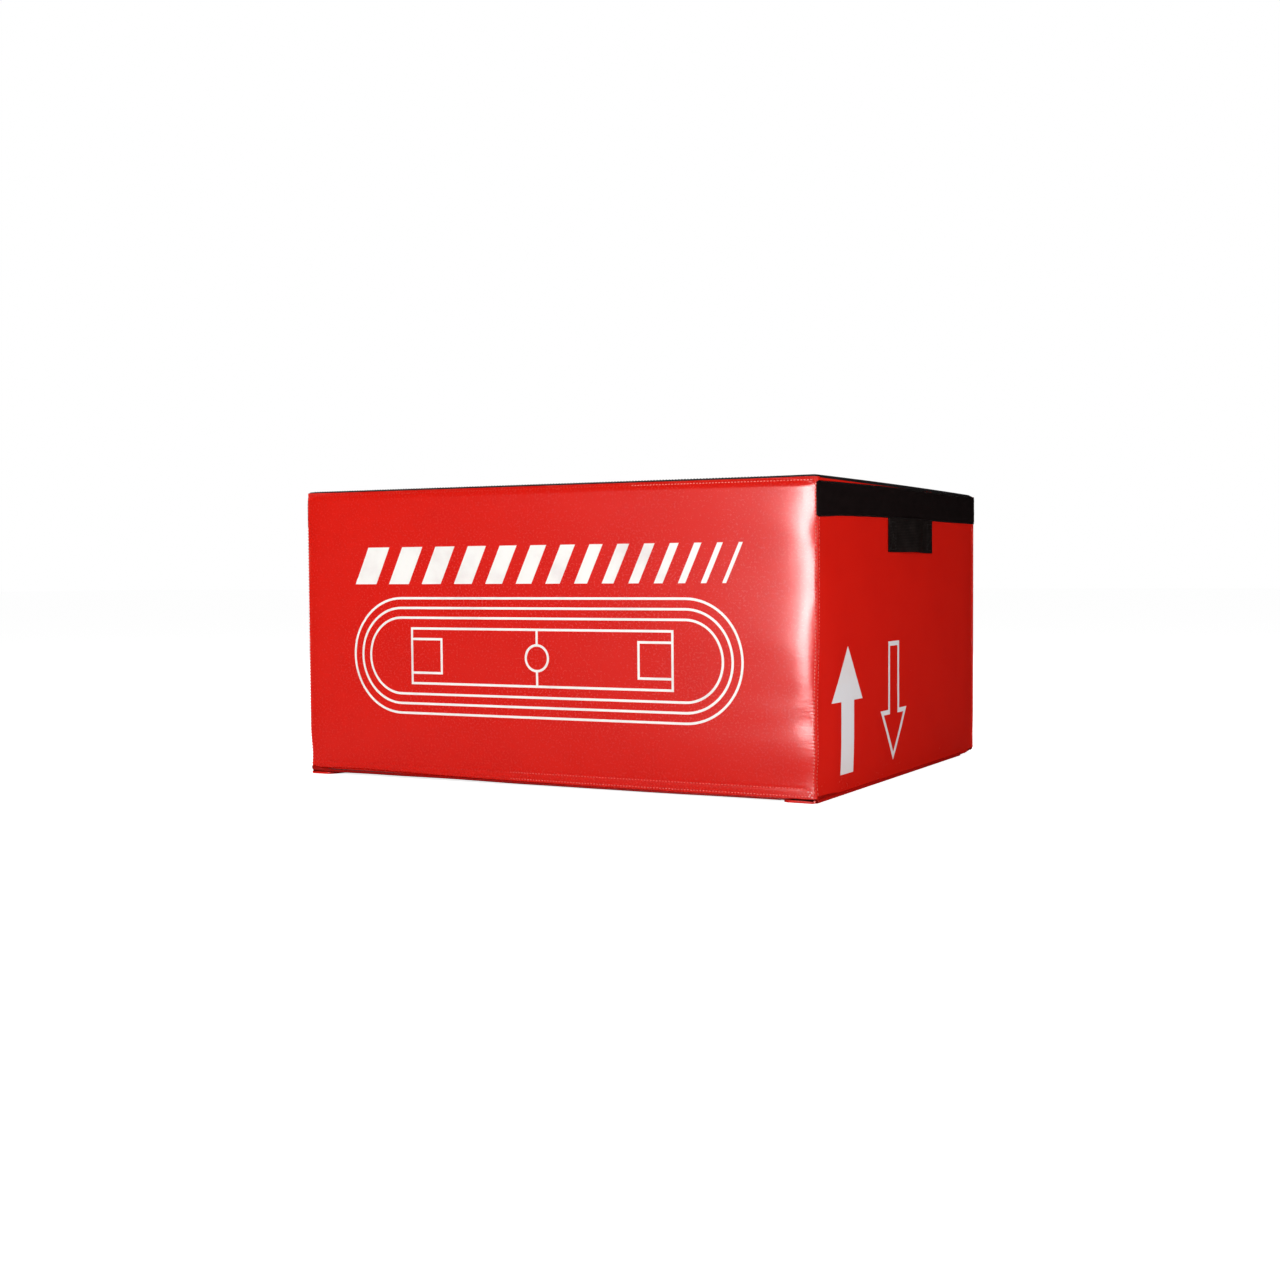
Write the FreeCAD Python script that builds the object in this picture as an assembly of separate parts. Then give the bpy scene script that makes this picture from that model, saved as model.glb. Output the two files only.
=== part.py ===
import FreeCAD, Part
import math
import os

# Soft plyo box, in millimetres. The box stands on z = 0, its front faces -Y and its ends face +X and -X.
# The right end is modelled, and the left end is its mirror image.

# Whole box, from the floor to the landing surface
box_width = 868.0
box_depth = 750.0
box_height = 450.0

# Vinyl cover
vinyl = 1.0
corner_radius = 8.0
top_edge_radius = 2.5
corner_lap = 2.0
top_lap = 2.2
sewn_gap = 0.2
smallest_round = 0.5

# Welt that closes the bottom edge of the cover
piping_radius = 2.0
piping_proud = 0.8

# Underside, which bellies down to the floor between the flaps
belly_rim = 20.0
belly_run = 80.0
belly_flap_gap = 4.0

# Foam block, from the top down
top_pad_height = 50.0
base_pad_height = 50.0
foam_fit = 0.3

# Joining flaps, folded under the ends
flap_width = 50.0
flap_front_inset = 3.0
flap_back_inset = 79.0
flap_fold_inset = 3.0
flap_plies = 2
flap_clearance = 0.4
hook_tape_thickness = 2.2
hook_tape_end_margin = 4.0
hook_tape_edge_margin = 4.0

# Loop band across the top of each end
band_height = 47.0
band_thickness = 1.6
band_edge_gap = 0.3
band_rise = 5.2
band_corner_radius = 4.0

# Carry handle under each band
handle_length = 202.0
handle_width = 50.0
handle_thickness = 4.0
handle_tab = 30.0
handle_bow = 14.0
handle_offset = 25.0
handle_band_gap = 0.5

# Zip on the back
zip_level = 80.0
zip_end_inset = 44.0
zip_slot_margin = 1.0
zip_slot_radius = 2.0
zip_tape_lap = 10.0
zip_tape_thickness = 0.8
zip_tape_overrun = 8.0
zip_coil_height = 3.0
zip_coil_depth = 2.0
zip_coil_inset = 2.0
zip_stop_length = 5.0
zip_stop_lap = 0.8
zip_stop_thickness = 1.2
zip_relief_margin = 1.0

# Zip slider and its pull
slider_length = 16.0
slider_plate = 1.4
slider_flange = 0.9
slider_side_gap = 0.4
slider_clearance = 0.3
slider_neck_length = 6.0
slider_neck_thickness = 0.8
slider_bridge_post = 2.0
slider_bridge_width = 3.2
slider_bridge_wall = 1.0
pull_bar_radius = 0.8
pull_bar_gap = 0.4
pull_arm_width = 1.9
pull_arm_length = 6.0
pull_tab_length = 24.0
pull_tab_width = 9.0
pull_end_radius = 3.0

# Levels and faces worked out from the sizes above
flap_thickness = flap_plies * vinyl
roll_radius = (flap_thickness + hook_tape_thickness) / 2
piping_bottom = 2 * roll_radius + flap_clearance
piping_level = piping_bottom + piping_radius
piping_top = piping_bottom + 2 * piping_radius
wall_bottom = piping_top + sewn_gap
wall_top = box_height - top_lap
base_top = piping_top
base_bottom = base_top - vinyl
end_face = box_width / 2
back_face = box_depth / 2
front_face = -box_depth / 2
corner_wrap = corner_radius + corner_lap
band_top_gap = band_rise + top_edge_radius + band_edge_gap
zip_length = box_width - 2 * zip_end_inset
zip_slit = slider_neck_thickness + 2 * slider_clearance
coil_edge = zip_slit / 2 + zip_coil_height
slider_half_height = coil_edge + slider_side_gap + slider_flange
zip_slot_half = slider_half_height + zip_slot_margin
zip_tape_height = zip_slot_half - zip_slit / 2 + zip_tape_lap


def vec(x, y, z):
    return FreeCAD.Vector(x, y, z)


def block(x_range, y_range, z_range):
    size = [high - low for low, high in (x_range, y_range, z_range)]
    return Part.makeBox(size[0], size[1], size[2], vec(x_range[0], y_range[0], z_range[0]))


def upright_edges(shape):
    return [edge for edge in shape.Edges if edge.BoundBox.XLength < 0.01 and edge.BoundBox.YLength < 0.01]


def edges_at_level(shape, level):
    return [edge for edge in shape.Edges if abs(edge.BoundBox.ZMin - level) < 0.01
            and abs(edge.BoundBox.ZMax - level) < 0.01]


def rounded_slab(half_x, half_y, z_range, radius):
    slab = block((-half_x, half_x), (-half_y, half_y), z_range)
    return slab.makeFillet(max(radius, smallest_round), upright_edges(slab))


def mirrored(shape):
    return shape.mirror(vec(0, 0, 0), vec(1, 0, 0))


# Cover walls and top

def cover_block(inset, bottom):
    top = box_height - inset
    shape = rounded_slab(end_face - inset, back_face - inset, (bottom, top), corner_radius - inset)
    return shape.makeFillet(max(top_edge_radius - inset, smallest_round), edges_at_level(shape, top))


def cover_shell():
    return cover_block(0, wall_bottom).cut(cover_block(vinyl, wall_bottom))


def wall_piece(shell, x_range, y_range):
    return shell.common(block(x_range, y_range, (wall_bottom, wall_top)))


def zip_slot():
    slot = block((-zip_length / 2, zip_length / 2), (back_face - 2 * vinyl, back_face + vinyl),
                 (zip_level - zip_slot_half, zip_level + zip_slot_half))
    across = [edge for edge in slot.Edges if abs(edge.BoundBox.YLength - 3 * vinyl) < 0.01]
    return slot.makeFillet(zip_slot_radius, across)


def cover_panels():
    shell = cover_shell()
    all_x = (-box_width, box_width)
    all_y = (-box_depth, box_depth)
    end_span = (front_face + corner_wrap, back_face - corner_wrap)
    right_end = wall_piece(shell, (0, box_width), end_span)
    back = wall_piece(shell, all_x, (back_face - corner_wrap, box_depth))
    return {
        "top_panel": shell.common(block(all_x, all_y, (wall_top, 2 * box_height))),
        "front_panel": wall_piece(shell, all_x, (-box_depth, front_face + corner_wrap)),
        "back_panel": back.cut(zip_slot()),
        "right_end_panel": right_end,
        "left_end_panel": mirrored(right_end),
    }


# Welt and underside

def base_piping():
    half_x = end_face + piping_proud - piping_radius
    half_y = back_face + piping_proud - piping_radius
    bend = corner_radius + piping_proud - piping_radius
    pieces = []
    for side in (-1, 1):
        long_run = Part.makeCylinder(piping_radius, 2 * (half_x - bend),
                                     vec(bend - half_x, side * half_y, piping_level), vec(1, 0, 0))
        short_run = Part.makeCylinder(piping_radius, 2 * (half_y - bend),
                                      vec(side * half_x, bend - half_y, piping_level), vec(0, 1, 0))
        pieces += [long_run, short_run]
    for quarter, (sign_x, sign_y) in enumerate(((1, 1), (-1, 1), (-1, -1), (1, -1))):
        turn = Part.makeTorus(bend, piping_radius, vec(0, 0, 0), vec(0, 0, 1), -180, 180, 90)
        turn.rotate(vec(0, 0, 0), vec(0, 0, 1), 90 * quarter)
        turn.translate(vec(sign_x * (half_x - bend), sign_y * (half_y - bend), piping_level))
        pieces.append(turn)
    return pieces[0].fuse(pieces[1:]).removeSplitter()


def belly(lift):
    half_x = flap_inner_x() - belly_flap_gap
    half_y = back_face - belly_rim
    levels = ((base_bottom + lift, 0.0), (lift, belly_run))
    outlines = []
    for level, inset in levels:
        corners = [vec(sx * (half_x - inset), sy * (half_y - inset), level)
                   for sx, sy in ((-1, -1), (1, -1), (1, 1), (-1, 1), (-1, -1))]
        outlines.append(Part.makePolygon(corners))
    return Part.makeLoft(outlines, True, True)


def base_panel():
    edge_inset = 2 * piping_radius - piping_proud + sewn_gap
    plate = rounded_slab(end_face - edge_inset, back_face - edge_inset, (base_bottom, base_top),
                         corner_radius - edge_inset)
    return plate.fuse(belly(0.0)).cut(belly(vinyl)).removeSplitter()


# Foam block

def zip_relief():
    half_x = zip_length / 2 + zip_tape_overrun + zip_relief_margin
    half_z = zip_slit / 2 + zip_tape_height + zip_relief_margin
    floor = back_face - vinyl - zip_tape_thickness - slider_clearance - slider_plate - foam_fit
    return block((-half_x, half_x), (floor, box_depth), (zip_level - half_z, zip_level + half_z))


def foam_slabs():
    inset = vinyl + foam_fit
    bottom = base_top + foam_fit
    top = box_height - inset
    filling = cover_block(inset, bottom).cut(zip_relief())
    middle_names = ["foam_lower_slab", "foam_middle_slab", "foam_upper_slab"]
    slab_height = (top - bottom - top_pad_height - base_pad_height) / len(middle_names)
    heights = {"foam_base_pad": base_pad_height}
    heights.update({name: slab_height for name in middle_names})
    heights["foam_top_pad"] = top_pad_height
    slabs = {}
    level = bottom
    for name, height in heights.items():
        cutter = block((-box_width, box_width), (-box_depth, box_depth), (level, level + height))
        slabs[name] = filling.common(cutter)
        level += height
    slabs["foam_base_pad"] = slabs["foam_base_pad"].fuse(belly(vinyl + foam_fit)).removeSplitter()
    return slabs


# Joining flaps

def flap_y_range(margin):
    return (front_face + flap_front_inset + margin, back_face - flap_back_inset - margin)


def fold_axis_x():
    return end_face - flap_fold_inset - roll_radius


def flap_inner_x():
    return end_face - flap_fold_inset - flap_width


def right_flap():
    y_range = flap_y_range(0.0)
    sheet = block((flap_inner_x(), fold_axis_x()), y_range, (0, flap_thickness))
    roll = Part.makeCylinder(roll_radius, y_range[1] - y_range[0],
                             vec(fold_axis_x(), y_range[0], roll_radius), vec(0, 1, 0))
    return sheet.fuse(roll).removeSplitter()


def right_hook_tape():
    x_range = (flap_inner_x() + hook_tape_edge_margin, fold_axis_x() - roll_radius - hook_tape_edge_margin)
    return block(x_range, flap_y_range(hook_tape_end_margin), (flap_thickness, flap_thickness + hook_tape_thickness))


# Loop bands and handles

def band_span():
    return (front_face + corner_radius, back_face - corner_radius)


def band_bottom_at(y):
    front_end, back_end = band_span()
    front_level = box_height - band_top_gap - band_height
    return front_level + band_rise * (y - front_end) / (back_end - front_end)


def right_loop_band():
    corners = []
    for y in band_span():
        corners.append(vec(end_face, y, band_bottom_at(y)))
    for y in reversed(band_span()):
        corners.append(vec(end_face, y, band_bottom_at(y) + band_height))
    outline = Part.makePolygon(corners + corners[:1])
    band = Part.Face(outline).extrude(vec(band_thickness, 0, 0))
    across = [edge for edge in band.Edges if abs(edge.BoundBox.XLength - band_thickness) < 0.01]
    return band.makeFillet(band_corner_radius, across)


def right_handle():
    half_length = handle_length / 2
    half_free = half_length - handle_tab
    lift = 2 * math.atan(handle_bow / half_free)
    bend = half_free / (2 * math.sin(lift))
    top = band_bottom_at(handle_offset - half_length) - handle_band_gap

    def at(along, out):
        return vec(end_face + out, handle_offset + along, top - handle_width)

    def side(out):
        rising = bend - out
        crown = bend + out
        half_lift = lift / 2
        foot = at(-half_free, out)
        knee = at(-crown * math.sin(lift), bend - rising * math.cos(lift))
        far_knee = at(crown * math.sin(lift), bend - rising * math.cos(lift))
        far_foot = at(half_free, out)
        knee_middle = at(-half_free + rising * math.sin(half_lift), bend - rising * math.cos(half_lift))
        far_middle = at(half_free - rising * math.sin(half_lift), bend - rising * math.cos(half_lift))
        return [
            Part.LineSegment(at(-half_length, out), foot),
            Part.Arc(foot, knee_middle, knee),
            Part.Arc(knee, at(0, handle_bow + out), far_knee),
            Part.Arc(far_knee, far_middle, far_foot),
            Part.LineSegment(far_foot, at(half_length, out)),
        ]

    ends = [Part.LineSegment(at(place, 0), at(place, handle_thickness)) for place in (-half_length, half_length)]
    curves = side(0.0) + side(handle_thickness) + ends
    wire = Part.Wire(Part.__sortEdges__([curve.toShape() for curve in curves]))
    return Part.Face(wire).extrude(vec(0, 0, handle_width))


# Zip

def tape_face():
    return back_face - vinyl


def coil_face():
    return tape_face() + zip_coil_depth


def zip_halves():
    half_tape = zip_length / 2 + zip_tape_overrun
    half_coil = zip_length / 2 - zip_coil_inset
    tape_y = (tape_face() - zip_tape_thickness, tape_face())
    coil_y = (tape_face(), coil_face())
    halves = {}
    for name, side in (("upper", 1), ("lower", -1)):
        edge = zip_level + side * zip_slit / 2
        tape_z = sorted((edge, edge + side * zip_tape_height))
        coil_z = sorted((edge, edge + side * zip_coil_height))
        halves["zip_tape_" + name] = block((-half_tape, half_tape), tape_y, tape_z)
        halves["zip_coil_" + name] = block((-half_coil, half_coil), coil_y, coil_z)
    return halves


def stop_inner_x():
    return zip_length / 2 - zip_coil_inset - zip_stop_length


def zip_stops():
    half_z = coil_edge + zip_stop_lap
    y_range = (coil_face(), coil_face() + zip_stop_thickness)
    right = block((stop_inner_x(), stop_inner_x() + zip_stop_length), y_range,
                  (zip_level - half_z, zip_level + half_z))
    return Part.makeCompound([right, mirrored(right)])


def slider_rest_x():
    return stop_inner_x() - slider_clearance - slider_length / 2


def slider_outer_face():
    return coil_face() + slider_clearance + slider_plate


def pull_axis_y():
    return slider_outer_face() + 2 * pull_bar_radius


def zip_slider():
    half_x = slider_length / 2
    half_z = slider_half_height
    outer = block((-half_x, half_x), (coil_face() + slider_clearance, slider_outer_face()), (-half_z, half_z))
    inner_y = tape_face() - zip_tape_thickness - slider_clearance
    inner = block((-half_x, half_x), (inner_y - slider_plate, inner_y), (-half_z, half_z))
    neck_half = slider_neck_thickness / 2
    neck = block((-slider_neck_length / 2, slider_neck_length / 2), (inner_y, coil_face() + slider_clearance),
                 (-neck_half, neck_half))
    pieces = [inner, neck]
    for side in (-1, 1):
        flange_z = sorted((side * (half_z - slider_flange), side * half_z))
        pieces.append(block((-half_x, half_x), (tape_face() + slider_clearance, slider_outer_face()), flange_z))
    eye = pull_bar_radius + pull_bar_gap
    bridge = block((-eye - slider_bridge_post, eye + slider_bridge_post),
                   (slider_outer_face(), pull_axis_y() + eye + slider_bridge_wall),
                   (-slider_bridge_width / 2, slider_bridge_width / 2))
    window = block((-eye, eye), (pull_axis_y() - eye, pull_axis_y() + eye),
                   (-slider_bridge_width, slider_bridge_width))
    pieces.append(bridge.cut(window))
    slider = outer.fuse(pieces).removeSplitter()
    slider.translate(vec(slider_rest_x(), 0, zip_level))
    return slider


def zip_pull():
    arm_inner = slider_bridge_width / 2 + slider_clearance
    arm_outer = arm_inner + pull_arm_width
    y_range = (pull_axis_y() - pull_bar_radius, pull_axis_y() + pull_bar_radius)
    bar = Part.makeCylinder(pull_bar_radius, 2 * arm_outer, vec(0, pull_axis_y(), -arm_outer), vec(0, 0, 1))
    tab = block((-pull_arm_length - pull_tab_length, -pull_arm_length), y_range,
                (-pull_tab_width / 2, pull_tab_width / 2))
    far_end = [edge for edge in tab.Edges if edge.BoundBox.YLength > pull_bar_radius
               and edge.BoundBox.XMax < -pull_arm_length - pull_tab_length / 2]
    tab = tab.makeFillet(pull_end_radius, [edge for edge in far_end if edge.BoundBox.ZLength < 0.01])
    arms = []
    for side in (-1, 1):
        arms.append(block((-pull_arm_length, 0), y_range, sorted((side * arm_inner, side * arm_outer))))
    pull = bar.fuse(arms + [tab]).removeSplitter()
    pull.translate(vec(slider_rest_x(), 0, zip_level))
    return pull


def all_parts():
    parts = foam_slabs()
    parts.update(cover_panels())
    parts["base_panel"] = base_panel()
    parts["base_piping"] = base_piping()
    right_end_pieces = {
        "flap": right_flap(),
        "hook_tape": right_hook_tape(),
        "loop_band": right_loop_band(),
        "handle": right_handle(),
    }
    for name, shape in right_end_pieces.items():
        parts["right_" + name] = shape
        parts["left_" + name] = mirrored(shape)
    parts.update(zip_halves())
    parts["zip_stops"] = zip_stops()
    parts["zip_slider"] = zip_slider()
    parts["zip_pull"] = zip_pull()
    return parts


os.makedirs("parts", exist_ok=True)
for node, shape in all_parts().items():
    print(node, len(shape.Solids), "solid(s),", round(shape.Volume / 1000, 2), "cm3, valid:", shape.isValid())
    shape.exportStep("parts/" + node + ".step")
print("slider travel", 2 * slider_rest_x(), "slider x", slider_rest_x(), "pull axis y", pull_axis_y())
print("flap fold axis x", fold_axis_x(), "z", roll_radius)
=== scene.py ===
import bmesh
import bpy
import math
import random
from mathutils import Euler, Matrix, Vector, noise


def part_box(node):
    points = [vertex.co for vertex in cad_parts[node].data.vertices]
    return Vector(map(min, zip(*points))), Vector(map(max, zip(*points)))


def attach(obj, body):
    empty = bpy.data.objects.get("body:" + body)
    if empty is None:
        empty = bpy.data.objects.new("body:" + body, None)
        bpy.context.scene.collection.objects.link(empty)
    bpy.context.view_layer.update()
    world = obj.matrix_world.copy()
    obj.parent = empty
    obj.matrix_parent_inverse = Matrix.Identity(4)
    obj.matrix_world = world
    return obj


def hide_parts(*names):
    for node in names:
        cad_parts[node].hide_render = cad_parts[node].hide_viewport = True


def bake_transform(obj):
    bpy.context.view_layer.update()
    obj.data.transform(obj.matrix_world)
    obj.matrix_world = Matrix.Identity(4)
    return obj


# Soft plyo box: a foam block in a sewn red vinyl cover. Front faces -Y, ends face +X and -X.
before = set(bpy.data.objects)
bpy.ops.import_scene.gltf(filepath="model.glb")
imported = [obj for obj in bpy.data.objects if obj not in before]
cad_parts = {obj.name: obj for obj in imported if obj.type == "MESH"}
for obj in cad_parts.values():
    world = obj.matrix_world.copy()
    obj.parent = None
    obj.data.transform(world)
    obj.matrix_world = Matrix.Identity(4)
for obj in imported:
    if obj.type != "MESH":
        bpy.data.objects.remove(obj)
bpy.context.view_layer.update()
mm = 0.001
quarter = math.pi / 2
print("frame loaded,", len(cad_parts), "nodes")

cover = dict(
    halfWidth=434 * mm,
    halfDepth=375 * mm,
    top=450 * mm,
    wallTop=447.8 * mm,
    wallLow=10 * mm,
    seamInset=2 * mm,  # where a long side turns into its corner seam
    endInset=11 * mm,  # where an end turns in under that seam
    skirt=9 * mm,  # depth of the lower edge of a face
    vinyl=1 * mm,
)


# handling

def freeHands():
    if bpy.context.object and bpy.context.object.mode != "OBJECT":
        bpy.ops.object.mode_set(mode="OBJECT")
    bpy.ops.object.select_all(action="DESELECT")


def hold(piece):
    freeHands()
    piece.select_set(True)
    bpy.context.view_layer.objects.active = piece


def named(name):
    piece = bpy.context.object
    piece.name = name
    piece.data.name = name
    return piece


def settle(piece):
    hold(piece)
    bpy.ops.object.transform_apply(location=True, rotation=True, scale=True)
    return piece


def begun(name, add, **settings):
    # a new primitive under its own name
    freeHands()
    add(**settings)
    return named(name)


def block(name, size, place):
    piece = begun(name, bpy.ops.mesh.primitive_cube_add, size=1)
    piece.scale = size
    piece.location = place
    return settle(piece)


def grid(name, columns, rows, halfX=1, halfY=1):
    piece = begun(name, bpy.ops.mesh.primitive_grid_add, x_subdivisions=columns, y_subdivisions=rows, size=2)
    piece.scale = (halfX, halfY, 1)
    return settle(piece)


def plane(name, halfX, halfY, level, turn=0):
    piece = begun(name, bpy.ops.mesh.primitive_plane_add, size=2, location=(0, 0, level), rotation=(turn, 0, 0))
    piece.scale = (halfX, halfY, 1)
    return settle(piece)


def applied(piece, kind, **settings):
    hold(piece)
    modifier = piece.modifiers.new(kind.title(), kind)
    for key, value in settings.items():
        setattr(modifier, key, value)
    bpy.ops.object.modifier_apply(modifier=modifier.name)
    return piece


def thickened(piece, thickness, offset=-1):
    return applied(piece, "SOLIDIFY", thickness=thickness, offset=offset, use_rim=True)


def rounded(piece, width, segments, angle):
    # only edges sharper than the angle
    return applied(piece, "BEVEL", width=width, segments=segments, limit_method="ANGLE",
                   angle_limit=math.radians(angle))


def repeated(piece, count, step):
    return applied(piece, "ARRAY", count=count, use_relative_offset=False, use_constant_offset=True,
                   constant_offset_displace=step)


def objectMode():
    bpy.ops.object.mode_set(mode="OBJECT")


def pick(piece, kind, test):
    # edit mode, with only the verts, edges or faces that pass the test selected
    hold(piece)
    bpy.ops.object.mode_set(mode="EDIT")
    bpy.ops.mesh.select_mode(type=kind)
    bpy.ops.mesh.select_all(action="DESELECT")
    work = bmesh.from_edit_mesh(piece.data)
    if kind == "FACE":
        for face in work.faces:
            face.select_set(test(face.calc_center_median(), face))
    elif kind == "EDGE":
        for edge in work.edges:
            edge.select_set(test((edge.verts[0].co + edge.verts[1].co) / 2, edge))
    else:
        for vert in work.verts:
            vert.select_set(test(vert.co, vert))
    work.select_flush_mode()
    bmesh.update_edit_mesh(piece.data)


def anything(place, element):
    return True


def drawOut(step):
    # the picked edges, by a step in millimetres
    bpy.ops.mesh.extrude_edges_move(TRANSFORM_OT_translate={"value": [part * mm for part in step]})


def rollEdge(panel, test, steps):
    pick(panel, "EDGE", lambda place, edge: edge.is_boundary and test(place))
    for step in steps:
        drawOut(step)
    objectMode()


def cornered(piece, offset, segments, test=anything):
    # the corners of a flat outline, rounded
    pick(piece, "VERT", test)
    bpy.ops.mesh.bevel(affect="VERTICES", offset=offset, segments=segments)
    objectMode()


def cutAcross(piece, axis, level):
    place = [0, 0, 0]
    place[axis] = level
    normal = [0, 0, 0]
    normal[axis] = 1
    pick(piece, "FACE", anything)
    bpy.ops.mesh.bisect(plane_co=place, plane_no=normal)
    objectMode()


def sliced(piece, axis, step):
    # cuts right across, so that a flat piece can follow a curved one
    low = min(vert.co[axis] for vert in piece.data.vertices)
    high = max(vert.co[axis] for vert in piece.data.vertices)
    cuts = int((high - low) / step)
    for index in range(1, cuts):
        cutAcross(piece, axis, low + (high - low) * index / cuts)


def twin(piece, name):
    other = piece.copy()
    other.data = piece.data.copy()
    other.name = name
    other.data.name = name
    bpy.context.scene.collection.objects.link(other)
    return other


def mirrorX(piece):
    # the other end's copy, with its faces turned the right way again
    hold(piece)
    piece.scale.x = -1
    settle(piece)
    pick(piece, "FACE", anything)
    bpy.ops.mesh.flip_normals()
    objectMode()
    return piece


def pair(make, name):
    # made for the right end and mirrored to the left
    right = make("right_" + name)
    return right, mirrorX(twin(right, "left_" + name))


def joined(pieces, name):
    hold(pieces[0])
    for piece in pieces:
        piece.select_set(True)
    if len(pieces) > 1:
        bpy.ops.object.join()
    return named(name)


def smooth(piece, angle):
    hold(piece)
    bpy.ops.object.shade_smooth_by_angle(angle=math.radians(angle))
    return piece


def dress(piece, finish, body, slot, *stoodFor):
    piece.data.materials.clear()
    piece.data.materials.append(finish)
    if body:
        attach(piece, body)
    if stoodFor:
        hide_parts(*stoodFor)
    return piece


# finishes

def paint(red, green, blue):
    # picked on screen, kept as light
    channels = [value / 255 for value in (red, green, blue)]
    light = [c / 12.92 if c <= 0.04045 else ((c + 0.055) / 1.055) ** 2.4 for c in channels]
    return (*light, 1)


def put(tree, kind, settings=None, **sockets):
    node = tree.nodes.new("ShaderNode" + kind)
    for key, value in (settings or {}).items():
        setattr(node, key, value)
    for key, value in sockets.items():
        node.inputs[key].default_value = value
    return node


def wire(tree, value, node, socket):
    # the value is a number, a color or a (node, output) pair
    if isinstance(value, tuple) and isinstance(value[0], bpy.types.Node):
        tree.links.new(value[0].outputs[value[1]], node.inputs[socket])
    else:
        node.inputs[socket].default_value = value


def sums(tree, operation, *values, clamp=False):
    node = put(tree, "Math", {"operation": operation, "use_clamp": clamp})
    for index, value in enumerate(values):
        wire(tree, value, node, index)
    return (node, 0)


def ramp(tree, source, low, high):
    # 0 below low, 1 above high, eased between; low may be the larger
    node = put(tree, "MapRange", {"interpolation_type": "SMOOTHSTEP"})
    wire(tree, source, node, "Value")
    wire(tree, min(low, high), node, "From Min")
    wire(tree, max(low, high), node, "From Max")
    wire(tree, 0 if low < high else 1, node, "To Min")
    wire(tree, 1 if low < high else 0, node, "To Max")
    return (node, "Result")


def blendColor(tree, share, first, second):
    node = put(tree, "Mix", {"data_type": "RGBA"})
    for socket, value in ((0, share), (6, first), (7, second)):
        wire(tree, value, node, socket)
    return (node, 2)


def texture(tree, kind, place, settings=None, **sockets):
    node = put(tree, "Tex" + kind, settings, **sockets)
    wire(tree, place, node, "Vector")
    return node


def newGroup(name, inputs, outputs):
    # a group that takes a place and a few numbers, and gives numbers
    group = bpy.data.node_groups.new(name, "ShaderNodeTree")
    group.interface.new_socket(name="Vector", in_out="INPUT", socket_type="NodeSocketVector")
    for label, value in inputs.items():
        socket = group.interface.new_socket(name=label, in_out="INPUT", socket_type="NodeSocketFloat")
        socket.default_value = value
    for label in outputs:
        group.interface.new_socket(name=label, in_out="OUTPUT", socket_type="NodeSocketFloat")
    start = group.nodes.new("NodeGroupInput")
    split = put(group, "SeparateXYZ")
    wire(group, (start, "Vector"), split, 0)
    return group, start, split, group.nodes.new("NodeGroupOutput")


def placeGroup(tree, group, place, **sockets):
    node = put(tree, "Group", {"node_tree": group}, **sockets)
    wire(tree, place, node, "Vector")
    return node


def newFinish(name):
    # with the place on the part that its patterns follow
    finish = bpy.data.materials.new(name)
    finish.use_nodes = True
    tree = finish.node_tree
    return finish, tree, (put(tree, "TexCoord"), "Object")


def laidFlat(tree, place, across, up):
    # the place laid flat on a face: across and up are axis names
    split = put(tree, "SeparateXYZ")
    wire(tree, place, split, 0)
    flat = put(tree, "CombineXYZ")
    wire(tree, (split, across), flat, "X")
    wire(tree, (split, up), flat, "Y")
    return (flat, "Vector")


def surface(tree, color, rough, gloss=0.5):
    shader = tree.nodes["Principled BSDF"]
    wire(tree, color, shader, "Base Color")
    wire(tree, rough, shader, "Roughness")
    wire(tree, gloss, shader, "Specular IOR Level")
    return shader


def bumped(tree, height, distance, strength, under=None):
    bump = put(tree, "Bump", Strength=strength, Distance=distance)
    wire(tree, height, bump, "Height")
    if under:
        wire(tree, (under, "Normal"), bump, "Normal")
    wire(tree, (bump, "Normal"), tree.nodes["Principled BSDF"], "Normal")
    return bump


def makeWeaveGroup():
    # plain weave: threads over and under, with a little wander
    group, start, split, end = newGroup("plainWeave", dict(Threads=600.0, Wander=0.25), ("Height", "Mottle"))
    place = (start, "Vector")
    wander = texture(group, "Noise", place, Scale=160, Detail=2)
    shift = sums(group, "MULTIPLY", (wander, 0), (start, "Wander"))
    shift = sums(group, "MULTIPLY", shift, 6.28)
    waves = []
    for axis in ("X", "Y"):
        turns = sums(group, "MULTIPLY", (split, axis), (start, "Threads"))
        waves.append(sums(group, "SINE", sums(group, "MULTIPLY_ADD", turns, 6.2832, shift)))
    height = sums(group, "MULTIPLY_ADD", sums(group, "MULTIPLY", *waves), 0.06, 0.5)
    grain = texture(group, "Noise", place, Scale=300, Detail=3, Roughness=0.55)
    wire(group, sums(group, "MULTIPLY_ADD", (grain, 0), 1.1, height), end, "Height")
    mottle = texture(group, "Noise", place, Scale=9, Detail=5, Roughness=0.6)
    wire(group, (mottle, 0), end, "Mottle")
    return group


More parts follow.
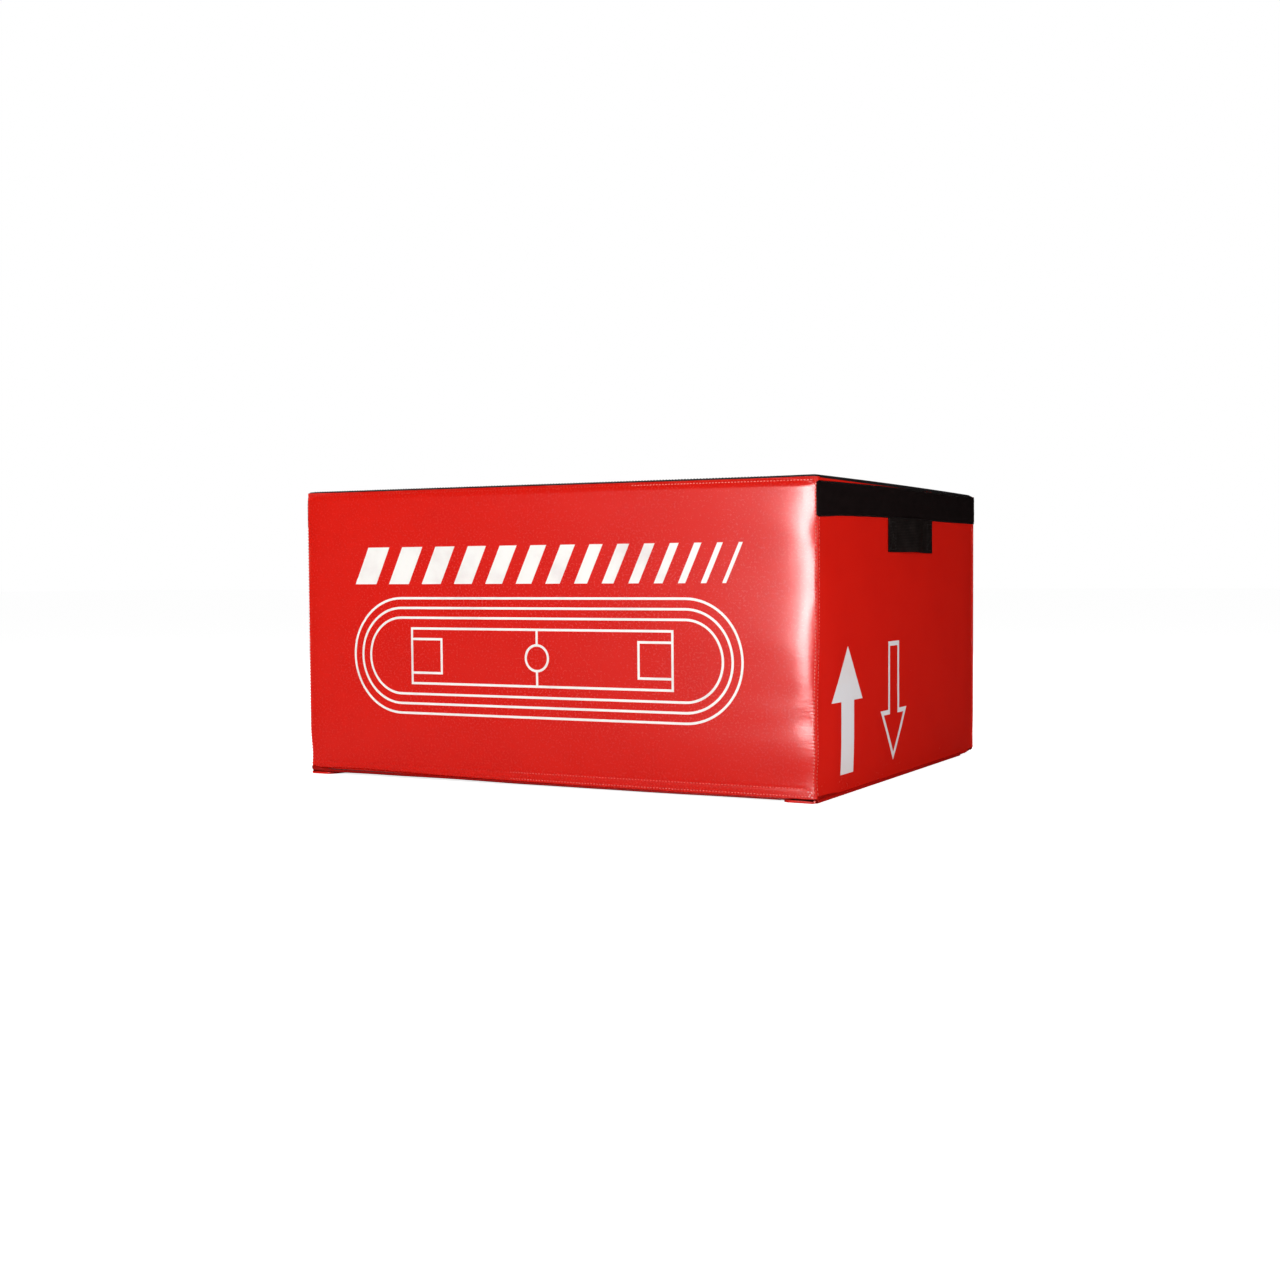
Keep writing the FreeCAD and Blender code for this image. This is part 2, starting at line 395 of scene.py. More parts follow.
def makeWearGroup():
    # rubbed edges and floor dust, by place on the box
    group, start, split, end = newGroup("boxWear", dict(Reach=0.006), ("Wear", "Dust", "Pucker"))
    place = (start, "Vector")
    near = [sums(group, "SUBTRACT", edge, sums(group, "ABSOLUTE", (split, axis)))
            for axis, edge in (("X", cover["halfWidth"]), ("Y", cover["halfDepth"]))]
    near.append(sums(group, "SUBTRACT", cover["top"], (split, "Z")))
    shares = [sums(group, "DIVIDE", gap, (start, "Reach")) for gap in near]
    close = [sums(group, "SUBTRACT", 1, share, clamp=True) for share in shares]
    pairs = [sums(group, "MULTIPLY", close[a], close[b]) for a, b in ((0, 1), (1, 2), (0, 2))]
    edge = sums(group, "MAXIMUM", pairs[0], sums(group, "MAXIMUM", pairs[1], pairs[2]))
    patches = texture(group, "Noise", place, Scale=60, Detail=4)
    wire(group, sums(group, "MULTIPLY", edge, ramp(group, (patches, 0), 0.42, 0.62)), end, "Wear")
    low = ramp(group, (split, "Z"), 0.07, 0.0)
    specks = texture(group, "Noise", place, Scale=240, Detail=3)
    wire(group, sums(group, "MULTIPLY", low, ramp(group, (specks, 0), 0.45, 0.7)), end, "Dust")
    # sewing draws the vinyl into short creases square to each upright seam
    stretch = put(group, "Mapping", Scale=(22, 22, 95))
    wire(group, place, stretch, "Vector")
    crease = texture(group, "Noise", (stretch, 0), Scale=1, Detail=3, Distortion=0.6)
    corner = sums(group, "MAXIMUM", near[0], near[1])
    pull = sums(group, "MULTIPLY", ramp(group, corner, 0.045, 0.004), (crease, 0))
    pull = sums(group, "MULTIPLY", pull, ramp(group, (split, "Z"), 0.30, 0.10))
    # and each stitch of the seam dimples it
    dimple = sums(group, "SINE", sums(group, "MULTIPLY", (split, "Z"), 6.2832 / 0.0049))
    dimple = sums(group, "MULTIPLY", dimple, ramp(group, corner, 0.013, 0.002))
    wire(group, sums(group, "MULTIPLY_ADD", dimple, 0.15, pull), end, "Pucker")
    return group


def makeYarnGroup():
    # ribbed narrow weave for webbing and tapes: ribs along, picks across
    group, start, split, end = newGroup("ribWeave", dict(Ribs=500.0, Picks=700.0), ("Height", "Tone"))
    place = (start, "Vector")
    ribs = sums(group, "MULTIPLY", (split, "Y"), (start, "Ribs"))
    picks = sums(group, "MULTIPLY", (split, "X"), (start, "Picks"))
    stagger = sums(group, "MULTIPLY", sums(group, "FLOOR", ribs), 0.5)
    across = sums(group, "ABSOLUTE", sums(group, "SINE", sums(group, "MULTIPLY", ribs, 3.1416)))
    along = sums(group, "SINE", sums(group, "MULTIPLY", sums(group, "ADD", picks, stagger), 6.2832))
    height = sums(group, "MULTIPLY", across, sums(group, "MULTIPLY_ADD", along, 0.3, 0.7))
    fuzz = texture(group, "Noise", place, Scale=2200, Detail=3)
    height = sums(group, "MULTIPLY_ADD", (fuzz, 0), 0.3, height)
    wire(group, height, end, "Height")
    shade = texture(group, "Noise", place, Scale=45, Detail=4)
    tone = sums(group, "MULTIPLY_ADD", (shade, 0), 0.6, sums(group, "MULTIPLY", height, 0.4))
    wire(group, tone, end, "Tone")
    return group


plainWeave = makeWeaveGroup()
boxWear = makeWearGroup()
ribWeave = makeYarnGroup()

redVinylLook = dict(
    color=paint(219, 25, 12),
    shade=paint(216, 23, 11),
    rubbed=paint(236, 92, 74),
    dust=paint(196, 160, 148),
    roughness=0.26,
    gloss=0.5,
    fleck=0.09,  # how much the grain breaks up the gloss
    grain=0.24 * mm,
    threads=430.0,
)


def makeVinyl(name, across, up, **changes):
    look = dict(redVinylLook, **changes)
    finish, tree, place = newFinish(name)
    flat = laidFlat(tree, place, across, up)
    weave = placeGroup(tree, plainWeave, flat, Threads=look["threads"], Wander=0.2)
    wear = placeGroup(tree, boxWear, place)
    color = blendColor(tree, ramp(tree, (weave, "Mottle"), 0.35, 0.7), look["color"], look["shade"])
    color = blendColor(tree, sums(tree, "MULTIPLY", (wear, "Wear"), 0.25), color, look["rubbed"])
    color = blendColor(tree, sums(tree, "MULTIPLY", (wear, "Dust"), 0.004), color, look["dust"])
    rough = sums(tree, "MULTIPLY_ADD", (weave, "Mottle"), 0.03, look["roughness"] - 0.015 - look["fleck"])
    rough = sums(tree, "MULTIPLY_ADD", (weave, "Height"), look["fleck"], rough)
    rough = sums(tree, "MULTIPLY_ADD", (wear, "Dust"), 0.008, rough)
    wire(tree, 1.5, surface(tree, color, rough, look["gloss"]), "IOR")
    pucker = bumped(tree, (wear, "Pucker"), 0.7 * mm, 0.6)
    bumped(tree, (weave, "Height"), look["grain"], 0.5, pucker)
    return finish


fine = dict(grain=0.08 * mm, fleck=0.03)
redSide = makeVinyl("redVinylSide", "X", "Z")
redEnd = makeVinyl("redVinylEnd", "Y", "Z", **fine)
# the welt's copy of the red vinyl is painted darker: painted shade, for the shadow it lies in under the hanging
# cover
redWeltPaintedShade = makeVinyl("redVinylWeltPaintedShade", "X", "Y", color=paint(158, 14, 9), shade=paint(148, 12, 8), **fine)
# the fold strip's copy of the red vinyl is painted darker: painted shade where it rolls in under the lower edge
# of the end
redFoldPaintedShade = makeVinyl("redVinylFoldPaintedShade", "Y", "Z", color=paint(187, 18, 10), shade=paint(182, 17, 9), **fine)
redFlat = makeVinyl("redVinylFlat", "X", "Y", grain=0.12 * mm, fleck=0.03)

landingLook = dict(color=paint(24, 22, 23), pale=paint(44, 41, 42), roughness=0.68)


def makeLanding():
    # embossed black vinyl with a pebble grain
    finish, tree, place = newFinish("landingVinyl")
    pebble = texture(tree, "Voronoi", place, {"feature": "DISTANCE_TO_EDGE"}, Scale=290)
    cells = ramp(tree, (pebble, "Distance"), 0.0, 0.22)
    scuffs = texture(tree, "Noise", place, Scale=24, Detail=9, Roughness=0.74, Distortion=0.4)
    wear = placeGroup(tree, boxWear, place, Reach=0.009)
    share = sums(tree, "MULTIPLY_ADD", ramp(tree, (scuffs, 0), 0.5, 0.8), 0.5,
                 sums(tree, "MULTIPLY", (wear, "Wear"), 0.5))
    share = sums(tree, "MULTIPLY_ADD", cells, 0.28, share)
    color = blendColor(tree, share, landingLook["color"], landingLook["pale"])
    surface(tree, color, sums(tree, "MULTIPLY_ADD", (scuffs, 0), 0.2, landingLook["roughness"] - 0.1), 0.3)
    bumped(tree, cells, 0.35 * mm, 0.8)
    return finish


baseLook = dict(cloth=paint(26, 25, 26), dots=paint(46, 45, 46), pitch=110.0)


def makeBase():
    # black base cloth with raised grip dots
    finish, tree, place = newFinish("gripBase")
    flat = laidFlat(tree, place, "X", "Y")
    weave = placeGroup(tree, plainWeave, flat, Threads=500.0)
    dots = texture(tree, "Voronoi", flat, {"voronoi_dimensions": "2D"}, Scale=baseLook["pitch"],
                   Randomness=0.0)
    raised = ramp(tree, (dots, "Distance"), 0.34, 0.22)
    color = blendColor(tree, raised, baseLook["cloth"], baseLook["dots"])
    surface(tree, color, sums(tree, "MULTIPLY_ADD", raised, -0.25, 0.8))
    cloth = bumped(tree, (weave, "Height"), 0.12 * mm, 0.5)
    bumped(tree, raised, 0.5 * mm, 0.8, cloth)
    return finish


loopLook = dict(deep=paint(18, 12, 12), tip=paint(42, 30, 30), roughness=0.92)


def makeLoopPile():
    # brushed loops: tangled curls, no gloss
    finish, tree, place = newFinish("loopPile")
    curls = texture(tree, "Noise", place, Scale=1100, Detail=3, Distortion=2.5)
    tufts = texture(tree, "Noise", place, Scale=90, Detail=5, Roughness=0.7)
    share = sums(tree, "MULTIPLY", ramp(tree, (curls, 0), 0.4, 0.7), ramp(tree, (tufts, 0), 0.25, 0.75))
    color = blendColor(tree, share, loopLook["deep"], loopLook["tip"])
    surface(tree, color, sums(tree, "MULTIPLY_ADD", (tufts, 0), 0.1, loopLook["roughness"] - 0.05), 0.05)
    bumped(tree, sums(tree, "MULTIPLY_ADD", (tufts, 0), 0.5, (curls, 0)), 0.7 * mm, 0.9)
    return finish


landingFinish = makeLanding()
gripBase = makeBase()
loopPile = makeLoopPile()


def makeWoven(name, across, up, look):
    finish, tree, place = newFinish(name)
    flat = laidFlat(tree, place, across, up)
    yarn = placeGroup(tree, ribWeave, flat, Ribs=look["ribs"], Picks=look["picks"])
    color = blendColor(tree, ramp(tree, (yarn, "Tone"), 0.3, 0.85), look["deep"], look["tip"])
    surface(tree, color, sums(tree, "MULTIPLY_ADD", (yarn, "Tone"), -0.18, look["roughness"]), 0.3)
    bumped(tree, (yarn, "Height"), look["depth"], 0.9)
    return finish


webbingLook = dict(deep=paint(16, 12, 11), tip=paint(40, 32, 30), roughness=0.78, ribs=420.0, picks=620.0,
                   depth=0.35 * mm)
webbingFinish = makeWoven("webbing", "Y", "Z", webbingLook)
zipTapeLook = dict(deep=paint(20, 18, 18), tip=paint(38, 35, 35), roughness=0.85, ribs=900.0, picks=1100.0,
                   depth=0.15 * mm)
zipTapeFinish = makeWoven("zipTape", "X", "Z", zipTapeLook)
hookBackLook = dict(deep=paint(16, 15, 15), tip=paint(34, 32, 32), roughness=0.8, ribs=700.0, picks=900.0,
                    depth=0.2 * mm)
hookFinish = makeWoven("hookTape", "X", "Y", hookBackLook)


def makeThread(name, color, pale, gloss=0.8):
    # sewing thread: plied strands catch the light in slanted streaks, painted into its colour as paler streaks
    # (painted highlight)
    finish, tree, place = newFinish(name)
    slant = put(tree, "Mapping", Rotation=(0.6, 0.5, 0.7))
    wire(tree, place, slant, "Vector")
    ply = (texture(tree, "Wave", (slant, 0), Scale=520, Distortion=1.5), 1)
    surface(tree, blendColor(tree, ply, color, pale), sums(tree, "MULTIPLY_ADD", ply, -0.15, 0.5), gloss)
    bumped(tree, ply, 0.1 * mm, 0.6)
    return finish


# the red thread is painted much paler than the vinyl: a painted highlight for the glints it catches on the corner
# seams; deepRedThread is the same thread without it
redThread = makeThread("redThread", paint(232, 84, 74), paint(247, 158, 148))
# the tacks' thread is painted almost white: a painted highlight for the glint on the tack at the near bottom
# corner
tackThreadPaintedHighlight = makeThread("paleThreadPaintedHighlight", paint(246, 150, 146), paint(255, 206, 206))
# paler copy of the red thread for the hems: a painted highlight, for the glint the front hem catches towards the
# lit right corner
hemThreadPaintedHighlight = makeThread("paleRedThreadPaintedHighlight", paint(230, 58, 50), paint(243, 90, 82), 0.6)
deepThread = makeThread("deepRedThread", paint(216, 26, 14), paint(220, 36, 24), 0.3)
blackThread = makeThread("blackThread", paint(16, 14, 14), paint(50, 46, 45))
topstitchThread = makeThread("greyThread", paint(58, 56, 57), paint(96, 93, 93))

inkLook = dict(white=paint(246, 245, 240), grey=paint(228, 227, 230), thin=paint(228, 219, 217), roughness=0.5)


def makeInk(name, across, up, white):
    # screen ink on vinyl: slightly thin over the weave, matt
    finish, tree, place = newFinish(name)
    flat = laidFlat(tree, place, across, up)
    weave = placeGroup(tree, plainWeave, flat, Threads=redVinylLook["threads"], Wander=0.2)
    color = blendColor(tree, ramp(tree, (weave, "Mottle"), 0.45, 0.75), white, inkLook["thin"])
    surface(tree, color, sums(tree, "MULTIPLY_ADD", (weave, "Mottle"), 0.12, inkLook["roughness"] - 0.06))
    bumped(tree, (weave, "Height"), 0.06 * mm, 0.4)
    return finish


sideInk = makeInk("whiteInkSide", "X", "Z", inkLook["white"])
# the end's print uses the same white ink painted greyer (inkLook grey): painted shade for the dimmer light on the
# end
endInk = makeInk("whiteInkEnd", "Y", "Z", inkLook["grey"])


def makeFoam(name, color, pit, pores):
    finish, tree, place = newFinish(name)
    cells = texture(tree, "Voronoi", place, Scale=pores)
    stain = texture(tree, "Noise", place, Scale=5, Detail=4)
    share = sums(tree, "MULTIPLY_ADD", ramp(tree, (stain, 0), 0.4, 0.8), 0.3,
                 sums(tree, "MULTIPLY", ramp(tree, (cells, "Distance"), 0.3, 0.0), 0.6))
    surface(tree, blendColor(tree, share, color, pit), sums(tree, "MULTIPLY_ADD", (stain, 0), 0.08, 0.88))
    bumped(tree, (cells, "Distance"), 0.6 * mm, 0.7)
    return finish


softFoam = makeFoam("softFoam", paint(214, 205, 176), paint(158, 146, 112), 520.0)
firmFoam = makeFoam("firmFoam", paint(120, 122, 126), paint(70, 72, 76), 380.0)


def makeHard(name, color, pale, metallic, roughness, scale):
    finish, tree, place = newFinish(name)
    marks = (texture(tree, "Noise", place, Scale=scale, Detail=6, Roughness=0.7), 0)
    mixed = blendColor(tree, ramp(tree, marks, 0.4, 0.75), color, pale)
    shader = surface(tree, mixed, sums(tree, "MULTIPLY_ADD", marks, 0.3, roughness - 0.15))
    wire(tree, metallic, shader, "Metallic")
    bumped(tree, marks, 0.05 * mm, 0.4)
    return finish


zipMetal = makeHard("zipMetal", paint(186, 186, 188), paint(214, 214, 216), 1.0, 0.42, 700)
coilPlastic = makeHard("coilPlastic", paint(18, 17, 17), paint(40, 38, 38), 0.0, 0.42, 900)
print("finishes ready:", len(bpy.data.materials))


# how the tight cover stands off the flat block, for every piece that lies on it

swellLook = dict(
    front=4.7 * mm,
    back=3 * mm,
    end=2.6 * mm,
    endPlain=345 * mm,  # above this the sewn band and handle hold an end flat
    barrel=2.6 * mm,  # and the middle stands out a little more
    barrelLevel=235 * mm,
    barrelReach=225 * mm,
    lean=0.22,  # slope of a long side where it leaves its corner seam
    sideReach=18 * mm,  # how soon that slope dies away
    farReach=130 * mm,
    # level, share and width of each stretch, along the corner seams
    slack=[(385, 0.3, 38), (312, -0.36, 36), (228, 0.24, 30), (150, -0.26, 26), (79, 0.05, 20)],
    tight=[(374, 0.5, 22), (192, 0.62, 54)],  # the near right seam is pulled tight there
    tightReach=0.4,
    tightLean=1.1,
    creases=[(114, 1.1, 16), (283, 0.3, 14)],  # level, depth, width, beside the corner seams
    creaseReach=24 * mm,
    uneven=0.14,
    topLean=2.2 * mm,  # near a corner the top strip leans back under the top panel
    topReach=13 * mm,
    topPower=1.3,
    lowReach=80 * mm,
    wave=0.5 * mm,
    ripple=0.12 * mm,
    tug=0.42 * mm,  # soft hollows beside the corner seams
    hemLevel=20 * mm,
    hemDent=0.45 * mm,
    cornerReach=60 * mm,
    pinch=4.2 * mm,
    farPinch=2.3 * mm,  # at the left end
    backPinch=0.5 * mm,
    pinchLevel=30 * mm,
    flare=1.9 * mm,  # the left seam stands out a little
    bow=3.0 * mm,  # the near right seam leans in a little, low down
    bowLevel=125 * mm,
    hang=4.2 * mm,  # how far the lower edge comes down over the welt, front and right
    hangFrom=-235 * mm,
    hangRun=470 * mm,
    hangReach=14 * mm,
    gape=2.4 * mm,  # and stands open near the front left corner
    gapeAt=-335 * mm,
    tail=2.6 * mm,  # more behind the end of the flap
    tailAt=312 * mm,
    clear=4.5 * mm,  # room kept for the flap
    clearRise=0.45,  # the turned-in edge of the end rises behind the fold
    foldLine=433.4 * mm,
    flapFrom=380 * mm,
    flapEnd=304 * mm,
    least=2.1 * mm,
    backLeast=1 * mm,
)
zipPlace = dict(level=80 * mm, halfRun=390 * mm, halfGap=6 * mm)


def ease(distance, reach, power=2.0):
    share = min(max(distance / reach, 0.0), 1.0)
    return 1 - (1 - share) ** power


def hill(distance, width):
    return math.exp(-(distance / width) ** 2)


def hills(level, rows):
    return sum(height * hill(level - middle * mm, width * mm) for middle, height, width in rows)


def growth(distance, reach):
    return 1 - math.exp(-distance / reach)


def farFlare(place):
    if place.x > 0 or place.y > 0:
        return 0
    corner = math.hypot(max(cover["halfWidth"] + place.x, 0), max(cover["halfDepth"] + place.y, 0))
    reach = swellLook["cornerReach"]
    return -swellLook["flare"] * hill(corner, reach) * ease(cover["wallTop"] - place.z, 24 * mm)


def hang(place):
    look = swellLook
    if place.y < cover["skirt"] - cover["halfDepth"]:
        down = look["hang"] * ease(place.x - look["hangFrom"], look["hangRun"])
        return down - look["gape"] * hill(place.x - look["gapeAt"], 80 * mm)
    if place.x > cover["halfWidth"] - cover["skirt"]:
        down = look["hang"] * (1 - 0.6 * hill(cover["halfDepth"] - place.y, 34 * mm))
        if place.y > look["flapEnd"]:
            down += look["tail"] * hill(place.y - look["tailAt"], 22 * mm)
        return down
    return 0


def lowest(place):
    # how low the cover may hang
    look = swellLook
    if place.x > look["flapFrom"] and place.y < look["flapEnd"]:
        behind = look["foldLine"] - place.x if place.y > 3.3 * mm - cover["halfDepth"] else 0
        return look["clear"] + look["clearRise"] * max(behind, 0)
    return look["least" if place.y < 0 else "backLeast"]


def longSwell(place, sideGap, lowGap, topGap, waves):
    # how far a long side stands out
    look = swellLook
    front = place.y < 0
    slack = 1 + hills(place.z, look["slack"])
    slack += look["uneven"] * noise.noise(Vector((math.copysign(3, place.x), 1, place.z * 34)))
    tight = hills(place.z, look["tight"]) if front and place.x >= 0 else 0
    reach = look["sideReach"] * slack * (1 - look["tightReach"] * tight)
    rise = look["lean"] * (1 + look["tightLean"] * tight) * reach * (1 if front else 0.6)
    full = look["barrel"] * (1 - ((place.z - look["barrelLevel"]) / look["barrelReach"]) ** 2)
    full += look["front" if front else "back"]
    edge = rise * growth(sideGap, reach) + (full - rise) * growth(sideGap, look["farReach"])
    upper = ease(topGap, look["topReach"], look["topPower"])
    lower = ease(lowGap, look["lowReach"]) if front else ease(place.z - 105 * mm, 70 * mm)
    crown = edge * upper * lower - look["topLean"] * (1 - upper) * hill(sideGap, 45 * mm)
    crease = hills(place.z, look["creases"]) * mm
    waves -= crease * hill(sideGap, look["creaseReach"]) * growth(sideGap, 5 * mm)
    tug = noise.noise(Vector((place.x * 17, place.y * 5, place.z * 26))) * hill(sideGap, 48 * mm)
    waves += look["tug"] * tug * growth(sideGap, 7 * mm)
    fade = ease(sideGap, 6 * mm) * ease(topGap - 10 * mm, 20 * mm) * ease(lowGap, 12 * mm)
    if not front:  # flat beside the zip
        fade *= ease(abs(place.z - zipPlace["level"]) - 12 * mm, 20 * mm)
    hem = look["hemDent"] * hill(place.z - look["hemLevel"], 1.7 * mm)
    return crown + waves * fade - hem * ease(sideGap, 4 * mm)


def swell(place):
    look = swellLook
    move = Vector((0, 0, 0))
    lowGap = place.z - cover["wallLow"]
    topGap = cover["wallTop"] - place.z
    outX = cover["halfWidth"] - abs(place.x)
    outY = cover["halfDepth"] - abs(place.y)
    waves = look["wave"] * noise.noise(place * 6.5)
    waves += look["ripple"] * noise.noise(place * 19 + Vector((3, 1, 2)))
    if outY < 5 * mm and lowGap > -1 * mm and topGap > -1 * mm:
        sideGap = max(outX - cover["seamInset"], 0)
        move.y += math.copysign(longSwell(place, sideGap, lowGap, topGap, waves), place.y)
    elif outX < 5 * mm and outY > 8 * mm and lowGap > -1 * mm:
        sideGap = outY - cover["endInset"]
        plain = ease(look["endPlain"] - place.z, 90 * mm)
        crown = look["end"] * ease(sideGap, 70 * mm) * plain * ease(lowGap, look["lowReach"])
        move.x += math.copysign(crown + waves * plain * ease(sideGap, 30 * mm), place.x)
    move.x += farFlare(place)
    # each bottom corner is drawn in just above its welt
    corner = hill(math.hypot(max(outX, 0), max(outY, 0)), look["cornerReach"])
    drawn = look["backPinch" if place.y > 0 else "pinch" if place.x > 0 else "farPinch"]
    drawn *= hill(place.z - look["pinchLevel"], 26 * mm) * corner
    move.x -= math.copysign(drawn, place.x)
    move.y -= math.copysign(drawn * 0.5, place.y)
    if place.x > 0 and place.y < 0:
        move.x -= look["bow"] * hill(place.z - look["bowLevel"], 85 * mm) * corner
    move.z -= hang(place) * (1 - ease(lowGap + 1 * mm, look["hangReach"], 1.6))
    move.z = max(move.z, min(lowest(place) - place.z, 0))
    return move


def lieOnCover(piece):
    for vert in piece.data.vertices:
        vert.co += swell(vert.co)
    piece.data.update()


# panels

rimLook = dict(
    top=[(0, 1.2, 0.4), (0, 2.5, 0)],
    # round and down behind the welt
    low=[(0, 0.5, -0.5), (0, 1.7, -0.4), (0, 0.9, -0.8), (0, 0.3, -1.3), (0, 0.2, -2.2)],
)


def sidePanel(name, look, halfRun, distance):
    # a grid stood up facing front, its rows drawn in towards the edges where the cover rolls
    panel = grid(name, look["columns"], look["rows"])
    for vert in panel.data.vertices:
        vert.co.x = math.sin(vert.co.x * quarter)
        vert.co.y = math.sin(vert.co.y * quarter)
    panel.scale = (halfRun, (cover["wallTop"] - cover["wallLow"]) / 2, 1)
    panel.rotation_euler = (quarter, 0, 0)
    panel.location = (0, -distance, (cover["wallTop"] + cover["wallLow"]) / 2)
    return settle(panel)


def rollRims(panel):
    rollEdge(panel, lambda place: place.z > cover["wallTop"] - 0.1 * mm, rimLook["top"])
    rollEdge(panel, lambda place: place.z < cover["wallLow"] + 0.1 * mm, rimLook["low"])


def rollSides(panel, look, halfRun, distance):
    for side in (-1, 1):
        rollEdge(panel, lambda place: place.x * side > halfRun - 0.1 * mm and place.y < 0.05 * mm - distance,
                 [(side * out, back, 0) for out, back in look["turn"]])


def finishPanel(panel, turn):
    panel.rotation_euler = (0, 0, turn)
    settle(panel)
    lieOnCover(panel)
    thickened(panel, cover["vinyl"])
    return smooth(panel, 60)


longSide = dict(
    columns=120,
    rows=128,
    # over each upright corner: groove, raised lip, then tucked down on the end
    turn=[(0.9, 0.9), (0.3, 1.3), (0.9, 0.5), (0.9, 1.2), (0.3, 2.2), (-0.2, 2.4), (-0.7, 1.1), (-1.1, 0.3)],
)


def longPanel(name):
    halfRun = cover["halfWidth"] - cover["seamInset"]
    panel = sidePanel(name, longSide, halfRun, cover["halfDepth"])
    rollRims(panel)
    rollSides(panel, longSide, halfRun, cover["halfDepth"])
    return panel


frontPanel = finishPanel(longPanel("front_panel_cover"), 0)
dress(frontPanel, redSide, "box", "red_vinyl", "front_panel")


def cutZipSlot(panel):
    # split along the slot's outline, then the faces inside it come out
    low = zipPlace["level"] - zipPlace["halfGap"]
    high = zipPlace["level"] + zipPlace["halfGap"]
    for axis, level in ((2, low), (2, high), (0, zipPlace["halfRun"]), (0, -zipPlace["halfRun"])):
        cutAcross(panel, axis, level)
    pick(panel, "FACE", lambda place, face: low < place.z < high and abs(place.x) < zipPlace["halfRun"])
    bpy.ops.mesh.delete(type="FACE")
    objectMode()


backPanel = longPanel("back_panel_cover")
cutZipSlot(backPanel)
finishPanel(backPanel, math.pi)
dress(backPanel, redSide, "box", "red_vinyl", "back_panel")

endSide = dict(columns=110, rows=64, turn=[(2.5, 0.4), (3.0, 0.6)])


def endPanel(name, turn):
    halfRun = cover["halfDepth"] - cover["endInset"]
    panel = sidePanel(name, endSide, halfRun, cover["halfWidth"])
    rollSides(panel, endSide, halfRun, cover["halfWidth"])
    rollRims(panel)
    return finishPanel(panel, turn)


rightEnd = endPanel("right_end_cover", quarter)
leftEnd = endPanel("left_end_cover", -quarter)
dress(rightEnd, redEnd, "box", "red_vinyl", "right_end_panel")
dress(leftEnd, redEnd, "box", "red_vinyl", "left_end_panel")
print("walls sewn:", len(frontPanel.data.polygons), len(rightEnd.data.polygons))

topLook = dict(
    proud=0.6 * mm,
    corner=7 * mm,
    edge=1.6 * mm,
    lap=3.2 * mm,
    trim=0.9 * mm,  # the lap is shorter along the front
    trimFrom=368 * mm,
    rolls=[(0.7 * mm, 0.75 * mm), (1.1 * mm, 0.55 * mm), (2.2 * mm, 0.3 * mm)],
    slice=26 * mm,
    crown=1.4 * mm,
    crownReach=120 * mm,
    droop=2 * mm,  # of the far corners
    endRise=2.2 * mm,  # the right edge stands up a little along its middle
    wave=0.5 * mm,
)


def makeTopPanel():
    look = topLook
    panel = plane("top_panel_cover", cover["halfWidth"] + look["proud"], cover["halfDepth"] + look["proud"],
                  cover["top"] - look["edge"])
    cornered(panel, look["corner"], 6)
    rollEdge(panel, lambda place: True, [(0, 0, (look["edge"] - look["lap"]) / mm)])
    pick(panel, "FACE", lambda place, face: face.normal.z > 0.9)
    for width, rise in look["rolls"]:
        bpy.ops.mesh.inset(thickness=width, depth=rise)
    objectMode()
    sliced(panel, 0, look["slice"])
    sliced(panel, 1, look["slice"])
    for vert in panel.data.vertices:  # landing face: a low crown, a few soft waves
        outX = cover["halfWidth"] - abs(vert.co.x)
        inset = min(outX, cover["halfDepth"] - abs(vert.co.y)) - 6 * mm
        rise = look["crown"] * ease(inset, look["crownReach"])
        vert.co.z += rise + look["wave"] * noise.noise(vert.co * 7) * ease(inset, 60 * mm)
        vert.co.z -= look["droop"] * hill(math.hypot(outX, cover["halfDepth"] - vert.co.y), 13 * mm)
        bank = hill(cover["halfWidth"] - vert.co.x, 70 * mm)
        bank *= 1 - 0.6 * (vert.co.y / cover["halfDepth"]) ** 2
        share = min(max((vert.co.z - cover["top"] + look["lap"]) / look["lap"], 0), 1)
        vert.co.z += look["endRise"] * bank * share
        vert.co.z += look["trim"] * max(1 - 2 * share, 0) * ease(-vert.co.y - look["trimFrom"], 6 * mm)
    thickened(panel, cover["vinyl"])
    return smooth(panel, 50)


topPanel = makeTopPanel()
dress(topPanel, landingFinish, "box", "landing_vinyl", "top_panel")
print("top sewn:", len(topPanel.data.polygons))


# welt and underside

weltLook = dict(
    radius=2 * mm,
    level=6.6 * mm,
    halfX=432.8 * mm,
    halfY=373.8 * mm,
    bend=6.8 * mm,
    lobe=1.2,  # it is fatter at the corners, most of all at the front left
    lobeReach=24 * mm,
    lobeLift=2.4 * mm,
    backLobe=0.25,
    nearLobe=0.1,
    wander=0.35 * mm,
    drop=3 * mm,  # where the cover hangs over it, it lies lower and further in
    leastDrop=0.9 * mm,
    dropEnd=388 * mm,
    tuckY=2.2 * mm,
    tuckX=1.2 * mm,
)


def weltCord():
    # the outline of the bottom edge, swept with a round cord
    look = weltLook
    welt = plane("base_welt", look["halfX"], look["halfY"], look["level"])
    cornered(welt, look["bend"], 6)
    pick(welt, "EDGE", lambda place, edge: edge.calc_length() > 100 * mm)
    bpy.ops.mesh.subdivide(number_cuts=90)
    bpy.ops.mesh.select_all(action="SELECT")
    bpy.ops.mesh.delete(type="ONLY_FACE")
    objectMode()
    hold(welt)
    bpy.ops.object.convert(target="CURVE")
    welt = bpy.context.object
    welt.data.bevel_depth = look["radius"]
    welt.data.bevel_resolution = 3
    bpy.ops.object.convert(target="MESH")
    return named("base_welt")


